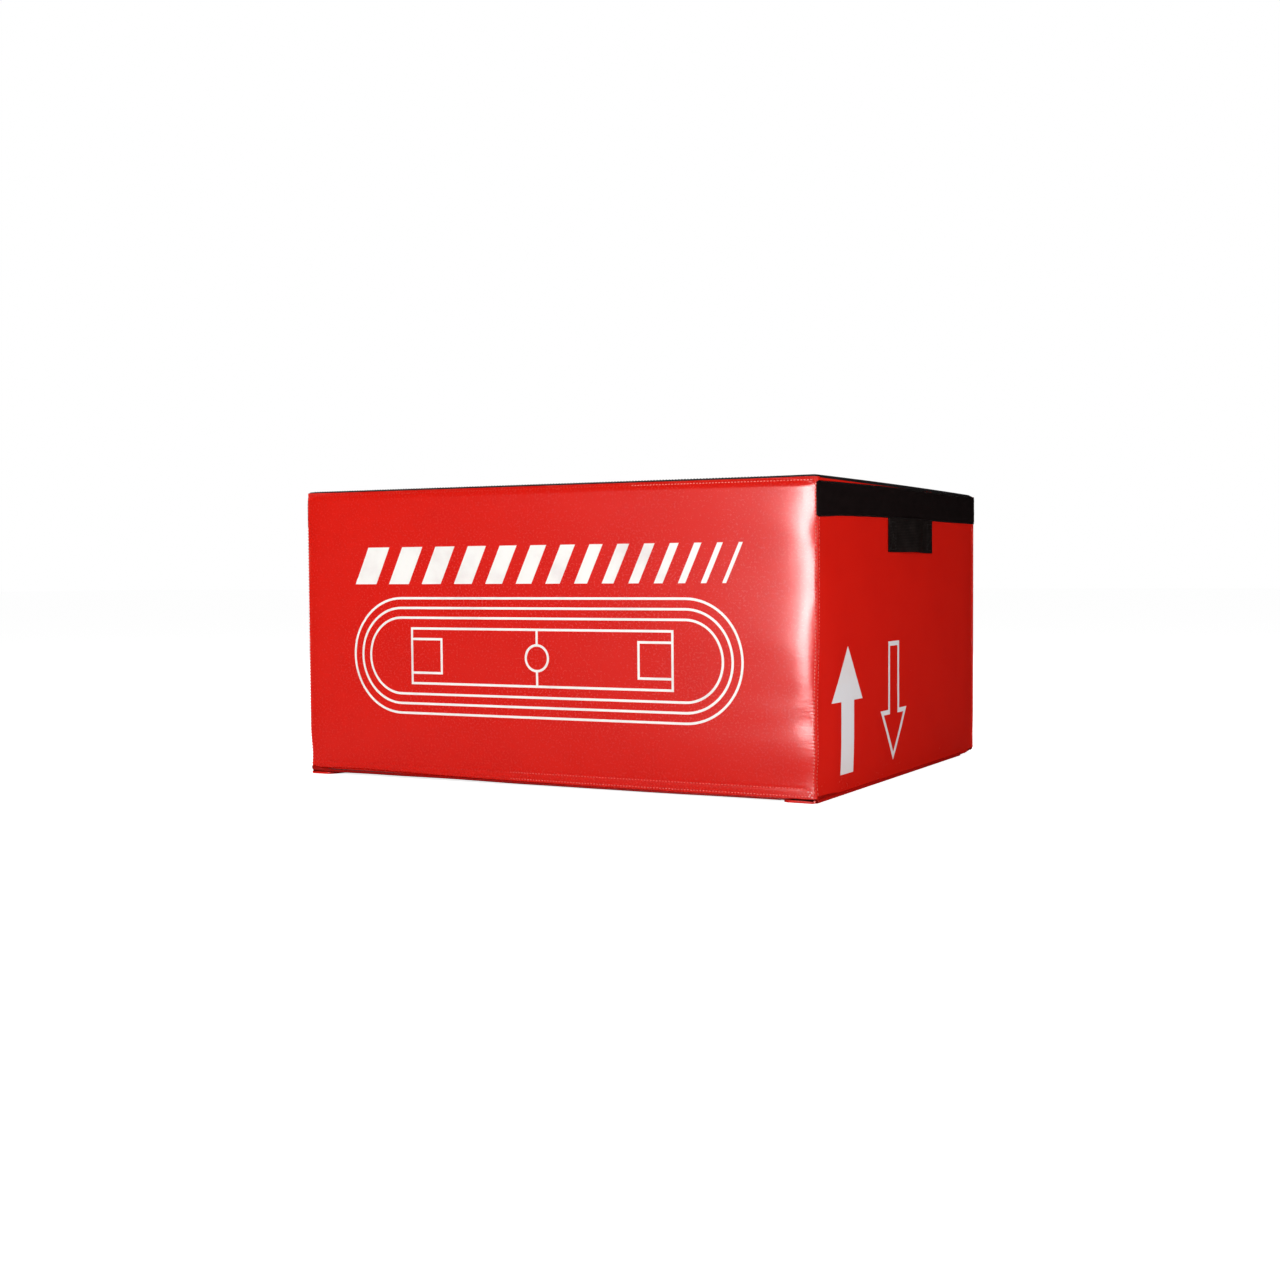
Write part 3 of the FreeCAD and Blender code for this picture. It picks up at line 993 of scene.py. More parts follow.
def makeWelt():
    look = weltLook
    welt = weltCord()
    for vert in welt.data.vertices:
        place = vert.co.copy()
        path = Vector((min(max(place.x, -look["halfX"]), look["halfX"]),
                       min(max(place.y, -look["halfY"]), look["halfY"]), look["level"]))
        if abs(abs(place.x) - look["halfX"]) > 3 * mm:
            path.y = math.copysign(look["halfY"], place.y)
        elif abs(abs(place.y) - look["halfY"]) > 3 * mm:
            path.x = math.copysign(look["halfX"], place.x)
        fat = hill(math.hypot(look["halfX"] - abs(place.x), look["halfY"] - abs(place.y)), look["lobeReach"])
        if place.y > 0:
            fat *= look["backLobe"]
        elif place.x > 0:
            fat *= look["nearLobe"]
        vert.co = path + (place - path) * (1 + look["lobe"] * fat)
        vert.co.z += look["lobeLift"] * fat
        vert.co.x += farFlare(place) * fat
        vert.co.z += look["wander"] * noise.noise(Vector((place.x, place.y, 0)) * 14)
        under = max(hang(place), 0) / swellLook["hang"]
        if place.y < cover["skirt"] - cover["halfDepth"]:
            vert.co.y += look["tuckY"] * under
            drop = look["drop"] * under * (1 - 0.3 * ease(place.x - 220 * mm, 140 * mm))
            drop = max(drop, look["leastDrop"]) * (1 - ease(place.x - look["dropEnd"], 9 * mm))
            vert.co.z -= drop * ease(place.x + cover["halfWidth"], 40 * mm)
        if place.x > cover["halfWidth"] - cover["skirt"]:
            vert.co.x -= look["tuckX"] * min(under, 1)
    return smooth(welt, 70)


welt = makeWelt()
dress(welt, redWeltPaintedShade, "box", "red_vinyl", "base_piping")

baseSheetLook = dict(halfX=430.6 * mm, halfY=371.6 * mm, corner=5 * mm, level=7.6 * mm, rim=16.6 * mm,
                     shoulder=377 * mm, runs=[(16, 0.8), (24, 3.0), (24, 2.9), (16, 0.9)])


def makeBaseSheet():
    # the underside faces down, with a belly that carries the box
    look = baseSheetLook
    sheet = plane("base_cover", look["halfX"], look["halfY"], look["level"], math.pi)
    pick(sheet, "FACE", anything)
    bpy.ops.mesh.inset(thickness=look["rim"])
    bpy.ops.transform.resize(value=(look["shoulder"] / (look["halfX"] - look["rim"]), 1, 1))
    for width, drop in look["runs"]:
        bpy.ops.mesh.inset(thickness=width * mm, depth=drop * mm)
    objectMode()
    cornered(sheet, look["corner"], 4, lambda place, vert: vert.is_boundary)
    thickened(sheet, cover["vinyl"])
    return smooth(sheet, 50)


baseSheet = makeBaseSheet()
dress(baseSheet, gripBase, "box", "base_vinyl", "base_panel")
print("underside sewn:", len(welt.data.polygons), len(baseSheet.data.polygons))


# loop bands and handles

bandLook = dict(
    halfRun=374 * mm,
    halfHeight=23.5 * mm,
    middle=421.1 * mm,
    rise=5.3 * mm,
    thick=1.5 * mm,
    corner=3 * mm,
    farCorner=4.5 * mm,
    selvage=2.6 * mm,
    selvageDrop=0.6 * mm,
    pile=0.32 * mm,
    overLip=1.2 * mm,
    tuck=2.2 * mm,
    arch=2.2 * mm,
    archAt=-90 * mm,
    dip=2.4 * mm,
)


def roundInset(corner, gap):
    # how far a rounded corner stands back, at a gap from the edge
    short = max(0, corner - gap)
    return corner - math.sqrt(max(0, corner ** 2 - short ** 2))


def bandLift(along, level):
    # sewn by hand: it climbs, arches a little and dips at its near end
    look = bandLook
    low = 0.5 - 0.5 * level / look["halfHeight"]
    lift = 0.3 * mm * noise.noise(Vector((along * 22, 4, 7)))
    lift += look["rise"] * along / (2 * look["halfRun"])
    lift += look["arch"] * hill(along - look["archAt"], 260 * mm)
    return lift - look["dip"] * low * hill(along + look["halfRun"], 70 * mm)


def makeBand(name):
    look = bandLook
    band = grid(name, 330, 24, look["halfRun"], look["halfHeight"])
    for vert in band.data.vertices:  # rounded corners, most at the far top
        corner = look["farCorner" if vert.co.x > 0 and vert.co.y > 0 else "corner"]
        vert.co.x *= 1 - roundInset(corner, look["halfHeight"] - abs(vert.co.y)) / look["halfRun"]
    thickened(band, look["thick"])
    for vert in band.data.vertices:
        endGap = look["halfRun"] - abs(vert.co.x)
        if vert.co.z > -0.1 * mm:  # pile side
            pile = ease(min(look["halfHeight"] - abs(vert.co.y), endGap) - look["selvage"], 1.5 * mm)
            tuft = noise.noise(vert.co * 310) * 0.6 + noise.noise(vert.co * 120) * 0.4
            vert.co.z += look["pile"] * tuft * pile - look["selvageDrop"] * (1 - pile)
        # over the raised lip of the corner seam and down into its groove
        vert.co.z += look["overLip"] * (1 - ease(endGap - 4 * mm, 10 * mm))
        vert.co.z -= look["tuck"] * hill(endGap, 2 * mm)
        vert.co.y += bandLift(vert.co.x, vert.co.y)
    band.rotation_euler = (quarter, 0, quarter)
    band.location = (cover["halfWidth"] + 0.2 * mm + look["thick"], 0, look["middle"])
    return smooth(settle(band), 60)


handleLook = dict(halfRun=105 * mm, tab=34 * mm, halfHeight=26.2 * mm, middle=373.6 * mm, offset=23.5 * mm,
                  bow=10 * mm, thick=3.0 * mm, lift=0.9 * mm, cup=0.8 * mm, lean=-0.002)


def bowed(along):
    free = handleLook["halfRun"] - handleLook["tab"]
    if abs(along) > free:
        return 0
    return 0.5 + 0.5 * math.cos(math.pi * along / free)


def makeHandle(name):
    look = handleLook
    strap = grid(name, 72, 16, look["halfRun"], look["halfHeight"])
    for vert in strap.data.vertices:
        rise = bowed(vert.co.x)
        level = vert.co.y / look["halfHeight"]
        vert.co.z = (look["bow"] - look["cup"] * level ** 2) * rise
        vert.co.y += look["lift"] * rise * (0.5 - 0.5 * level) + look["lean"] * vert.co.x
        vert.co.z += 0.25 * mm * noise.noise(vert.co * 40) * rise
    thickened(strap, look["thick"], 1)
    rounded(strap, 0.9 * mm, 3, 50)
    strap.rotation_euler = (quarter, 0, quarter)
    strap.location = (cover["halfWidth"] + 0.3 * mm, look["offset"], look["middle"])
    return smooth(settle(strap), 50)


rightBand, leftBand = pair(makeBand, "loop_tape")
for vert in leftBand.data.vertices:
    vert.co.x += farFlare(vert.co)
dress(rightBand, loopPile, "box", "loop_tape", "right_loop_band")
dress(leftBand, loopPile, "box", "loop_tape", "left_loop_band")
rightHandle, leftHandle = pair(makeHandle, "carry_strap")
dress(rightHandle, webbingFinish, "box", "webbing", "right_handle")
dress(leftHandle, webbingFinish, "box", "webbing", "left_handle")
print("bands and handles sewn")


# joining flaps, folded under the ends

flapLook = dict(
    inner=381.2 * mm,
    axisX=428.9 * mm,
    front=-377 * mm,
    back=296 * mm,
    thick=1.9 * mm,
    rows=[0.0, 0.5, 2.0, 5.0, 12.0, 20.0, 28.0, 36.0, 42.0, 46.0],
    turn=[(1.3, 0, 0.0), (1.0, 0, 0.45), (0.35, 0, 0.65), (-0.35, 0, 0.7), (-1.0, 0, 0.45)],  # round the fold
    corner=14 * mm,
    hem=0.75,
    drawn=12 * mm,
)


def makeFlap(name):
    # a doubled strip of vinyl; its outer edge rolls round the fold line
    look = flapLook
    steps = look["rows"]
    flap = grid(name, len(steps) - 1, 110)
    halfRun = (look["back"] - look["front"]) / 2
    middle = (look["back"] + look["front"]) / 2
    for vert in flap.data.vertices:
        column = round((vert.co.x + 1) / 2 * (len(steps) - 1))
        vert.co.x = look["inner"] + 0.6 * mm + steps[column] * mm
        vert.co.y = middle + math.sin(vert.co.y * quarter) * (halfRun - 0.5 * mm)
        vert.co.z = look["thick"] / 2 + 0.05 * mm
        free = ease(look["axisX"] - vert.co.x, 40 * mm)
        vert.co.x += 0.5 * mm * noise.noise(Vector((2, vert.co.y * 12, 5))) * free
        inset = roundInset(look["corner"], halfRun - abs(vert.co.y - middle))  # rounded free corners
        vert.co.x += inset * (look["axisX"] - vert.co.x) / (look["axisX"] - look["inner"])
    rollEdge(flap, lambda place: place.x > look["inner"] + steps[-1] * mm, look["turn"])
    thickened(flap, look["thick"], 0)
    rounded(flap, 0.55 * mm, 2, 55)
    for vert in flap.data.vertices:  # its short ends are turned over twice
        endGap = halfRun - abs(vert.co.y - middle)
        flatPart = ease(look["axisX"] - 2 * mm - vert.co.x, 6 * mm)
        vert.co.z *= 1 + look["hem"] * hill(endGap - 1.6 * mm, 1.7 * mm) * flatPart
    return smooth(flap, 50)


hookLook = dict(front=-368, back=292, inner=385.2, outer=422.6, base=2.05, backing=0.7, pitchX=2.9, pitchY=3.3,
                bend=[(0.1, 0, 0.5), (0.4, 0, 0.35), (0.55, 0, -0.15)])


def makeHookTape(name):
    # woven backing with rows of bent hooks
    look = hookLook
    wide = look["outer"] - look["inner"]
    long = look["back"] - look["front"]
    middle = ((look["inner"] + look["outer"]) / 2 * mm, (look["front"] + look["back"]) / 2 * mm,
              (look["base"] + look["backing"] / 2) * mm)
    backing = block("hook_backing", (wide * mm, long * mm, look["backing"] * mm), middle)
    applied(backing, "BEVEL", width=0.25 * mm, segments=2)
    sliced(backing, 1, 12 * mm)
    hook = begun("hook", bpy.ops.mesh.primitive_cylinder_add, vertices=4, radius=0.34 * mm, depth=0.5 * mm,
                 end_fill_type="NGON")
    hook.location = ((look["inner"] + 2.2) * mm, (look["front"] + 2.5) * mm,
                     (look["base"] + look["backing"] + 0.2) * mm)
    settle(hook)
    pick(hook, "FACE", lambda place, face: face.normal.z > 0.9)
    for step in look["bend"]:
        bpy.ops.mesh.extrude_region_move(TRANSFORM_OT_translate={"value": [part * mm for part in step]})
        bpy.ops.transform.resize(value=(0.85, 0.85, 0.85))
    objectMode()
    repeated(hook, int((wide - 4) / look["pitchX"]), (look["pitchX"] * mm, 0, 0))
    repeated(hook, int((long - 4) / look["pitchY"]), (0, look["pitchY"] * mm, 0))
    return joined([backing, hook], name)


foldLook = dict(front=-371, back=295, thick=0.7,
                path=[(430.9, 5.6), (432.2, 5.1), (433.6, 4.4), (434.4, 3.3), (434.7, 2.1), (434.3, 1.1),
                      (433.0, 0.55), (430.9, 0.45), (428.96, 0.4)])


def makeFold(name):
    # the strip of cover vinyl that runs from the welt round the fold to the flap
    look = foldLook
    line = look["path"]
    strip = grid(name, 1, 110)
    halfRun = (look["back"] - look["front"]) / 2 * mm
    middle = (look["back"] + look["front"]) / 2 * mm
    for vert in strip.data.vertices:
        across, up = line[0 if vert.co.x > 0 else 1]
        vert.co = (across * mm, middle + vert.co.y * halfRun, up * mm)
    steps = [(after[0] - before[0], 0, after[1] - before[1]) for before, after in zip(line[1:], line[2:])]
    rollEdge(strip, lambda place: place.z < (line[1][1] + 0.1) * mm, steps)
    pick(strip, "FACE", anything)
    bpy.ops.mesh.normals_make_consistent(inside=False)
    objectMode()
    thickened(strip, look["thick"] * mm, 0)
    return smooth(strip, 60)


def drawBack(piece):
    # the near corner of the left flap lies drawn in a little
    look = flapLook
    for vert in piece.data.vertices:
        share = (look["axisX"] + vert.co.x) / (look["axisX"] - look["inner"])
        near = hill(vert.co.y - look["front"], 26 * mm)
        vert.co.x -= look["drawn"] * near * min(max(share, 0), 1)


rightFlap, leftFlap = pair(makeFlap, "flap_sheet")
rightHooks, leftHooks = pair(makeHookTape, "hook_strip")
drawBack(leftFlap)
drawBack(leftHooks)
rightFold, leftFold = pair(makeFold, "flap_fold_strip")
for side, sign, flap, hooks, fold in (("right", 1, rightFlap, rightHooks, rightFold),
                                      ("left", -1, leftFlap, leftHooks, leftFold)):
    dress(flap, redFlat, side + "_flap", "red_vinyl", side + "_flap")
    dress(hooks, hookFinish, side + "_flap", "hook_tape", side + "_hook_tape")
    dress(fold, redFoldPaintedShade, None, "red_vinyl")
    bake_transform(fold)
print("flaps folded:", len(rightHooks.data.polygons), "hook faces")


# zip on the back

zipLook = dict(tapeHalf=398, slit=0.7, tapeHigh=15.3, tapeLow=373.2, tapeThick=0.8, coilHalf=388, pitch=2.0,
               toothReach=3.1, toothDeep=1.9, face=375.02)


def makeZipTape(name, side):
    look = zipLook
    middle = zipPlace["level"] + side * (look["slit"] + look["tapeHigh"] / 2) * mm
    tape = block(name, (2 * look["tapeHalf"] * mm, look["tapeThick"] * mm, look["tapeHigh"] * mm),
                 (0, (look["tapeLow"] + look["tapeThick"] / 2) * mm, middle))
    applied(tape, "BEVEL", width=0.25 * mm, segments=2)
    return smooth(tape, 40)


def makeCoil(name, side):
    # one flattened turn of the coil, leaning a little, then the whole run
    look = zipLook
    coil = begun(name, bpy.ops.mesh.primitive_torus_add, major_radius=0.5, minor_radius=0.17, major_segments=10,
                 minor_segments=5, rotation=(0, quarter, 0))
    settle(coil)
    coil.scale = (2.2 * mm, look["toothDeep"] / 1.34 * mm, look["toothReach"] / 1.34 * mm)
    coil.rotation_euler = (0, side * 0.16, 0)
    first = -look["coilHalf"] + 1.1 + (look["pitch"] / 2 if side > 0 else 0)
    coil.location = (first * mm, look["face"] * mm, zipPlace["level"] + side * (look["slit"] + 1.5) * mm)
    settle(coil)
    repeated(coil, int((2 * look["coilHalf"] - 3) / look["pitch"]), (look["pitch"] * mm, 0, 0))
    return smooth(coil, 60)


def softened(node, name, width):
    # the same hard piece with its edges eased
    piece = bpy.data.objects.new(name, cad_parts[node].data.copy())
    bpy.context.scene.collection.objects.link(piece)
    pick(piece, "FACE", anything)
    bpy.ops.mesh.remove_doubles(threshold=0.005 * mm)
    bpy.ops.mesh.dissolve_limited(angle_limit=math.radians(2))
    objectMode()
    rounded(piece, width, 3, 40)
    return smooth(piece, 45)


zipTapes = []
for name, side in (("upper", 1), ("lower", -1)):
    zipTapes.append(makeZipTape("zip_cloth_" + name, side))
    dress(zipTapes[-1], zipTapeFinish, "box", "zip_tape", "zip_tape_" + name)
    dress(makeCoil("zip_teeth_" + name, side), coilPlastic, "box", "zip_coil", "zip_coil_" + name)
dress(softened("zip_stops", "zip_end_stops", 0.3 * mm), zipMetal, "box", "zip_metal", "zip_stops")
dress(softened("zip_slider", "zip_slider_body", 0.3 * mm), zipMetal, "zip_slider", "zip_metal", "zip_slider")
dress(softened("zip_pull", "zip_pull_tab", 0.35 * mm), zipMetal, "zip_pull", "zip_metal", "zip_pull")
print("zip set")


# foam block, a little clear of the cover all round

foamLook = dict(inset=3.5 * mm, round=6 * mm, sag=0.6 * mm, lowest=10.5 * mm)


def makeFoamSlab(node, finish, slot):
    look = foamLook
    low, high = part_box(node)
    level = max(low.z, look["lowest"])
    size = (high.x - low.x - 2 * look["inset"], high.y - low.y - 2 * look["inset"], high.z - level - 0.2 * mm)
    slab = block(node + "_block", size, (0, 0, (high.z + level) / 2))
    pick(slab, "FACE", anything)
    bpy.ops.mesh.subdivide(number_cuts=9)
    objectMode()
    rounded(slab, look["round"], 3, 60)
    for vert in slab.data.vertices:
        vert.co.x += look["sag"] * noise.noise(vert.co * 9)
        vert.co.y += look["sag"] * noise.noise(vert.co * 9 + Vector((5, 5, 5)))
    smooth(slab, 50)
    dress(slab, finish, "box", slot, node)


for node in ("foam_top_pad", "foam_base_pad"):
    makeFoamSlab(node, softFoam, "soft_foam")
for node in ("foam_upper_slab", "foam_middle_slab", "foam_lower_slab"):
    makeFoamSlab(node, firmFoam, "firm_foam")
print("foam cut")


# stitching; the rows are given in millimetres

threadLook = dict(pitch=4.9 * mm, share=0.56, width=1.35 * mm, height=1.1 * mm, stray=0.12 * mm)
dice = random.Random(45)


def makeStitch():
    # one stitch along X, its ends drawn in where the thread dives
    stitch = begun("stitch", bpy.ops.mesh.primitive_cylinder_add, vertices=6, radius=0.5, depth=0.7,
                   rotation=(0, quarter, 0))
    settle(stitch)
    pick(stitch, "FACE", lambda place, face: abs(face.normal.x) > 0.9)
    bpy.ops.mesh.inset(thickness=0.2, depth=0.15, use_individual=True)
    objectMode()
    return stitch


stitchModel = makeStitch()


def sewRun(first, last, out):
    # a straight row between two points on a face that looks out
    look = threadLook
    first = Vector(first) * mm
    last = Vector(last) * mm
    along = (last - first).normalized()
    up = Vector(out).normalized()
    across = up.cross(along)
    count = max(2, round((last - first).length / look["pitch"]))
    step = (last - first) / count
    row = twin(stitchModel, "row")
    size = Matrix.Diagonal((step.length * look["share"], look["width"], look["height"], 1))
    turn = Matrix((along, across, up)).transposed().to_4x4()
    row.matrix_world = Matrix.Translation(first + step / 2) @ turn @ size
    settle(row)
    repeated(row, count, step)
    each = len(row.data.vertices) // count
    for index in range(count):  # no two lie quite alike
        shift = across * dice.uniform(-1, 1) * look["stray"] - up * dice.random() * look["stray"]
        for vert in row.data.vertices[index * each:(index + 1) * each]:
            vert.co += shift
    return row


def sew(name, runs, thread, slot, body="box", onCover=True):
    piece = joined([sewRun(*run) for run in runs], name)
    if onCover:
        lieOnCover(piece)
    smooth(piece, 60)
    return dress(piece, thread, body, slot)


# right of the dark place the top seam is sewn in the paler red thread, a painted highlight; left of it in the
# plain deep red thread
longRow = dict(face=375.1, top=443.4, end=429, dark=150)  # the top seam is darker left of this place


def topSeam(sign, first, last):
    # sign is -1 for the front
    face = sign * longRow["face"]
    return [((first, face, longRow["top"]), (last, face, longRow["top"]), (0, sign, 0))]


def longRuns(sign, first):
    # top and both corner seams of a long side
    runs = topSeam(sign, first, longRow["end"])
    lip = sign * 368.4
    for side in (-1, 1):
        runs.append(((side * 432.9, sign * 374.9, 14), (side * 432.9, sign * 374.9, 440), (side, sign, 0)))
        runs.append(((side * 435.2, lip, 12), (side * 435.2, lip, 393.5), (side, 0, 0)))
    return runs


def hemRuns(sign, first, last):
    face = sign * longRow["face"]
    return [((first, face, level), (last, face, level), (0, sign, 0)) for level in (20, 12)]


def tackRuns(sign):
    # the hem ends at the right, where it is tacked down
    face = sign * 375.15
    lines = (((422, 17.0), (431.5, 16.4)), ((431, 16.6), (425, 13.0)), ((423, 12.6), (431.5, 11.4)))
    return [((a[0], face, a[1]), (b[0], face, b[1]), (0, sign, 0)) for a, b in lines]


def zipRuns():
    # round the slot
    face = longRow["face"]
    runs = [((-392, face, level), (392, face, level), (0, 1, 0)) for level in (70.5, 89.5)]
    return runs + [((end, face, 70.5), (end, face, 89.5), (0, 1, 0)) for end in (-394, 394)]


# the front hem is split the same way: right of x = -60 its paler thread paints the highlight, left of it the
# plain deep red thread
frontThread = sew("front_stitching", longRuns(-1, longRow["dark"]), redThread, "red_vinyl")
frontHem = sew("front_hem_stitching", hemRuns(-1, -60, 427), hemThreadPaintedHighlight, "red_vinyl")
farRuns = hemRuns(-1, -427, -60) + topSeam(-1, -longRow["end"], longRow["dark"])
frontFar = sew("front_stitching_left", farRuns, deepThread, "red_vinyl")
frontTacks = sew("front_tacks", tackRuns(-1), tackThreadPaintedHighlight, "red_vinyl")
backThread = sew("back_stitching", longRuns(1, -longRow["end"]) + zipRuns(), redThread, "red_vinyl")
backHem = sew("back_hem_stitching", hemRuns(1, -427, 427), hemThreadPaintedHighlight, "red_vinyl")
backTacks = sew("back_tacks", tackRuns(1), tackThreadPaintedHighlight, "red_vinyl")


def topRuns():
    level = 450.25
    runs = []
    for side in (-1, 1):
        runs.append(((-426, side * 369.5, level), (426, side * 369.5, level), (0, 0, 1)))
        runs.append(((side * 428.5, -366, level), (side * 428.5, 366, level), (0, 0, 1)))
    return runs


topThread = sew("top_stitching", topRuns(), topstitchThread, "landing_vinyl", onCover=False)


def bandRuns(side):
    # along both selvages of the band
    face = side * 435.25
    levels = [bandLook["middle"] / mm + level for level in (-22.2, 22.2)]
    return [((face, -364, level), (face, 364, level), (side, 0, 0)) for level in levels]


def onBand(thread):
    for vert in thread.data.vertices:
        vert.co.z += bandLift(vert.co.y, vert.co.z - bandLook["middle"])
        vert.co.x += farFlare(vert.co)


def tabRuns(side):
    # a sewn square with a cross at each end of the carry strap
    face = side * 437.35
    middle = 23.5
    low = 351.5
    high = 393.5
    runs = []
    for end in (-1, 1):
        near = middle + end * 77
        far = middle + end * 101
        square = [(near, low), (far, low), (far, high), (near, high)]
        lines = list(zip(square, square[1:] + square[:1])) + [(square[0], square[2]), (square[1], square[3])]
        runs += [((face, a[0], a[1]), (face, b[0], b[1]), (side, 0, 0)) for a, b in lines]
    return runs


rightBandThread = sew("right_band_stitching", bandRuns(1), blackThread, "loop_tape", onCover=False)
leftBandThread = sew("left_band_stitching", bandRuns(-1), blackThread, "loop_tape", onCover=False)
onBand(rightBandThread)
onBand(leftBandThread)
rightTabThread = sew("right_strap_stitching", tabRuns(1), blackThread, "webbing", onCover=False)
leftTabThread = sew("left_strap_stitching", tabRuns(-1), blackThread, "webbing", onCover=False)


def flapRuns(side):
    # under the flap: the seams that hold its hem and the hook strip
    level = 0.32
    out = (0, 0, -1)
    inner = side * 386.5
    outer = side * 421.5
    ends = (-368, 292)
    runs = [((x, ends[0], level), (x, ends[1], level), out) for x in (inner, outer)]
    return runs + [((inner, y, level), (outer, y, level), out) for y in ends]


rightFlapThread = sew("right_flap_stitching", flapRuns(1), redThread, "red_vinyl", "right_flap", onCover=False)
leftFlapThread = sew("left_flap_stitching", flapRuns(-1), redThread, "red_vinyl", "left_flap", onCover=False)
drawBack(leftFlapThread)
bpy.data.objects.remove(stitchModel)
print("stitched:", len(frontThread.data.polygons), "faces on the front")


# printed motifs, drawn flat (x across, y up, in millimetres) and laid on the cover

def flatBar(low, high, slant=0):
    # a bar between two corners; slant moves its upper edge along
    middleY = (low[1] + high[1]) / 2 * mm
    bar = begun("bar", bpy.ops.mesh.primitive_plane_add, size=1)
    bar.scale = ((high[0] - low[0]) * mm, (high[1] - low[1]) * mm, 1)
    bar.location = ((low[0] + high[0]) / 2 * mm, middleY, 0)
    settle(bar)
    if slant:
        pick(bar, "VERT", lambda place, vert: place.y > middleY)
        bpy.ops.transform.translate(value=(slant * mm, 0, 0))
        objectMode()
    return bar


def outlined(piece, line):
    pick(piece, "FACE", anything)
    bpy.ops.mesh.inset(thickness=line * mm)
    bpy.ops.mesh.delete(type="FACE")
    objectMode()
    return piece


def flatFrame(low, high, line, corner=0):
    frameBar = flatBar(low, high)
    if corner:
        cornered(frameBar, corner * mm, 18)
    return outlined(frameBar, line)


def flatRing(middle, radius, line):
    ring = begun("ring", bpy.ops.mesh.primitive_circle_add, vertices=48, radius=radius * mm, fill_type="NGON",
                 location=(middle[0] * mm, middle[1] * mm, 0))
    return outlined(settle(ring), line)


inkFilm = dict(lift=0.32 * mm, thick=0.25 * mm, slice=22 * mm)


def printOn(name, shapes, turn, distance, ink):
    film = joined(shapes, name)
    sliced(film, 0, inkFilm["slice"])
    sliced(film, 1, inkFilm["slice"])
    film.rotation_euler = (quarter, 0, turn)
    film.location = Matrix.Rotation(turn, 3, "Z") @ Vector((0, -distance - inkFilm["lift"], 0))
    settle(film)
    lieOnCover(film)
    thickened(film, inkFilm["thick"])
    return dress(film, ink, "box", "red_vinyl")


stripeLook = dict(left=-338, right=327, low=303, high=360, slant=26, count=14, wide=40, thin=6)


def stripeShapes():
    # leaning bars that thin out along the row
    look = stripeLook
    last = look["count"] - 1
    widths = [look["wide"] + (look["thin"] - look["wide"]) * index / last for index in range(look["count"])]
    gap = (look["right"] - look["left"] - look["slant"] - sum(widths)) / last
    shapes = []
    across = look["left"]
    for width in widths:
        shapes.append(flatBar((across, look["low"]), (across + width, look["high"]), look["slant"]))
        across += width + gap
    return shapes


groundLook = dict(left=-341, right=328, low=102, high=283, line=3.6, lane=15, lanes=3, pitchX=226, pitchY=44,
                  ring=21, boxX=58, boxY=26)


def barBetween(oneX, otherX, oneY, otherY):
    return flatBar((min(oneX, otherX), min(oneY, otherY)), (max(oneX, otherX), max(oneY, otherY)))


def groundShapes():
    # plan of a sports ground: running lanes round a marked pitch
    look = groundLook
    line = look["line"]
    half = line / 2
    shapes = []
    for lane in range(look["lanes"]):
        inset = lane * look["lane"]
        low = (look["left"] + inset, look["low"] + inset)
        high = (look["right"] - inset, look["high"] - inset)
        shapes.append(flatFrame(low, high, line, (high[1] - low[1]) * 0.4995))
    x = (look["left"] + look["right"]) / 2
    y = (look["low"] + look["high"]) / 2
    low = (x - look["pitchX"], y - look["pitchY"])
    high = (x + look["pitchX"], y + look["pitchY"])
    shapes.append(flatFrame(low, high, line))
    shapes.append(flatRing((x, y), look["ring"], line))
    for side in (-1, 1):
        shapes.append(barBetween(x - half, x + half, y + side * look["ring"], y + side * (look["pitchY"] - line)))
        wall = x + side * (look["pitchX"] - line)
        front = x + side * (look["pitchX"] - look["boxX"])
        inner = front + side * line
        for edge in (-1, 1):
            level = y + edge * look["boxY"]
            shapes.append(barBetween(inner, wall, level - half, level + half))
        shapes.append(barBetween(front, inner, y - look["boxY"] - half, y + look["boxY"] + half))
    return shapes


frontPrint = printOn("front_print", stripeShapes() + groundShapes(), 0, cover["halfDepth"], sideInk)

arrowLook = dict(low=30, high=212, half=60, shaft=25, head=78, line=7, upAt=-262, downAt=-62)


def flatArrow(middle, points):
    # a shaft, its upper edge drawn out to a head; points is 1 for up and -1 for down
    look = arrowLook
    neck = look["high"] - look["low"] - look["head"]
    arrow = flatBar((-look["shaft"], 0), (look["shaft"], neck))
    pick(arrow, "EDGE", lambda place, edge: place.y > (neck - 0.1) * mm)
    for rise, spread in ((0.001, look["half"] / look["shaft"]), (look["head"], 0.0001)):
        drawOut((0, rise, 0))
        bpy.ops.transform.resize(value=(spread, 1, 1))
    bpy.ops.mesh.select_all(action="SELECT")
    bpy.ops.mesh.remove_doubles(threshold=0.1 * mm)
    bpy.ops.mesh.select_all(action="SELECT")
    bpy.ops.mesh.dissolve_faces()
    objectMode()
    arrow.rotation_euler = (0, 0, 0 if points > 0 else math.pi)
    arrow.location = (middle * mm, (look["low"] if points > 0 else look["high"]) * mm, 0)
    return settle(arrow)


arrows = [flatArrow(arrowLook["upAt"], 1), outlined(flatArrow(arrowLook["downAt"], -1), arrowLook["line"])]
endPrint = printOn("right_end_print", arrows, quarter, cover["halfWidth"], endInk)
print("printed:", len(frontPrint.data.polygons), len(endPrint.data.polygons))
# stage

cameraLook = dict(
    place=(1.2725, -2.5109, 0.3156),
    azimuth=27.467,
    elevation=2.238,
    roll=-0.337,
    lens=47.09,
)


def makeCamera():
    bpy.ops.object.camera_add(location=cameraLook["place"])
    camera = bpy.context.object
    camera.data.sensor_width = 36
    camera.data.lens = cameraLook["lens"]
    turned = Euler((quarter - math.radians(cameraLook["elevation"]), 0, math.radians(cameraLook["azimuth"])))
    roll = Matrix.Rotation(math.radians(cameraLook["roll"]), 3, "Z")
    camera.rotation_euler = (turned.to_matrix() @ roll).to_euler()
    camera.data.clip_end = 100
    bpy.context.scene.camera = camera


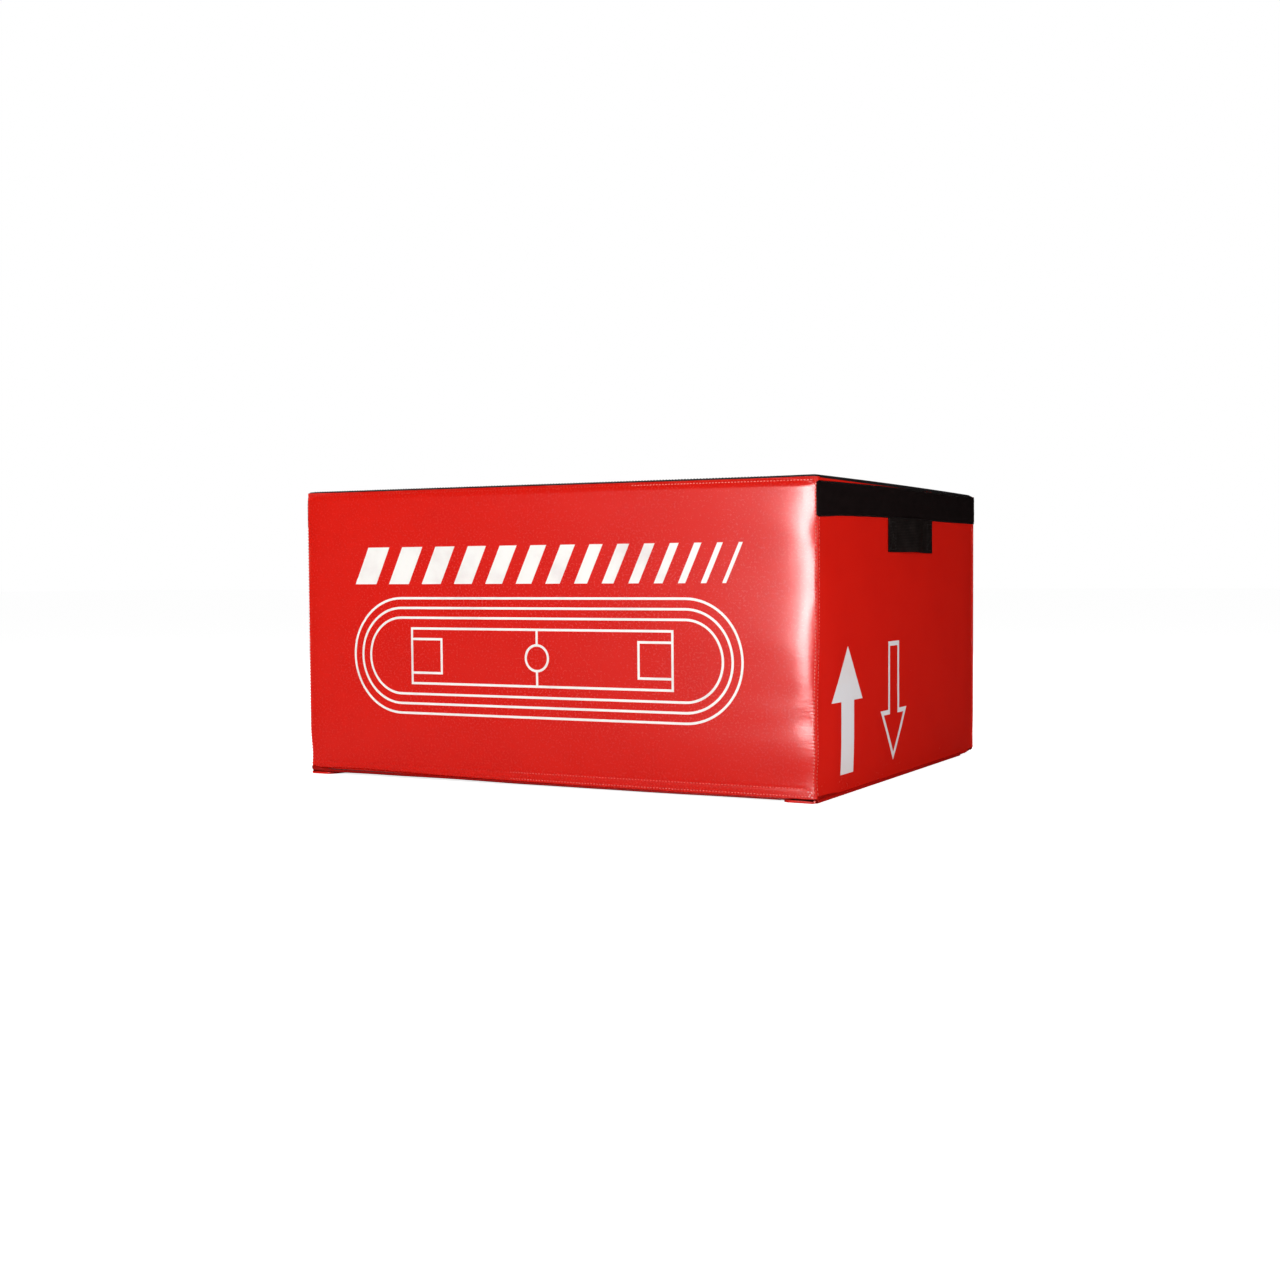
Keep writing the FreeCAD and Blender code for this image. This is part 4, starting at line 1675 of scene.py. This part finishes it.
lightLook = dict(
    glint=dict(place=(0.25, -2.7, 0.5), aim=(0.25, -0.3, 0.4), size=0.6, tall=1.0, power=70, sees="gloss"),
    front=dict(place=(-0.9, -3.2, 1.3), aim=(-0.05, -0.3, 0.2), size=1.6, tall=1.2, power=58, sees="color"),
    side=dict(place=(2.6, -1.2, 0.7), aim=(0.43, -1.6, 0.22), size=1.0, tall=1.0, power=40, sees="color"),
    above=dict(place=(-0.4, 0.4, 2.6), aim=(0, 0, 0.3), size=2.4, tall=2.4, power=24, sees="color"),
    rear=dict(place=(-1.6, 2.8, 1.4), aim=(0, 0.3, 0.2), size=1.4, tall=1.2, power=50, sees="color gloss"),
)


def makeLights():
    # one tall strip makes the gloss, soft boxes the rest
    for name, look in lightLook.items():
        bpy.ops.object.light_add(type="AREA", location=look["place"])
        lamp = bpy.context.object
        lamp.name = name + "Light"
        lamp.data.shape = "RECTANGLE"
        lamp.data.size = look["size"]
        lamp.data.size_y = look["tall"]
        lamp.data.energy = look["power"]
        aim = Vector(look["aim"]) - Vector(look["place"])
        lamp.rotation_euler = aim.to_track_quat("-Z", "Y").to_euler()
        lamp.visible_diffuse = "color" in look["sees"]
        lamp.visible_glossy = "gloss" in look["sees"]


stageLook = dict(sky=0.16, backdrop=1.0, floor=0.86, lift=0.85)


def toTheEye(tree):
    return (put(tree, "LightPath"), "Is Camera Ray")


def makeStage():
    # a white sweep to the eye, kept out of the vinyl's gloss as in a dark room
    look = stageLook
    world = bpy.data.worlds.new("studio")
    bpy.context.scene.world = world
    world.use_nodes = True
    world.cycles_visibility.glossy = False
    tree = world.node_tree
    light = tree.nodes["Background"]
    strength = sums(tree, "MULTIPLY_ADD", toTheEye(tree), look["backdrop"] - look["sky"], look["sky"])
    wire(tree, (1, 1, 1, 1), light, "Color")
    wire(tree, strength, light, "Strength")
    floor = begun("studio_floor", bpy.ops.mesh.primitive_plane_add, size=60, location=(0, 0, -0.35 * mm))
    floor.visible_glossy = False
    finish = bpy.data.materials.new("paleFloor")
    finish.use_nodes = True
    tree = finish.node_tree
    shader = surface(tree, (*[look["floor"]] * 3, 1), 0.9, 0.0)
    wire(tree, (1, 1, 1, 1), shader, "Emission Color")
    wire(tree, sums(tree, "MULTIPLY", toTheEye(tree), look["lift"]), shader, "Emission Strength")
    floor.data.materials.append(finish)


makeCamera()
makeLights()
makeStage()
bpy.context.scene.view_settings.view_transform = "Standard"
print("stage set")
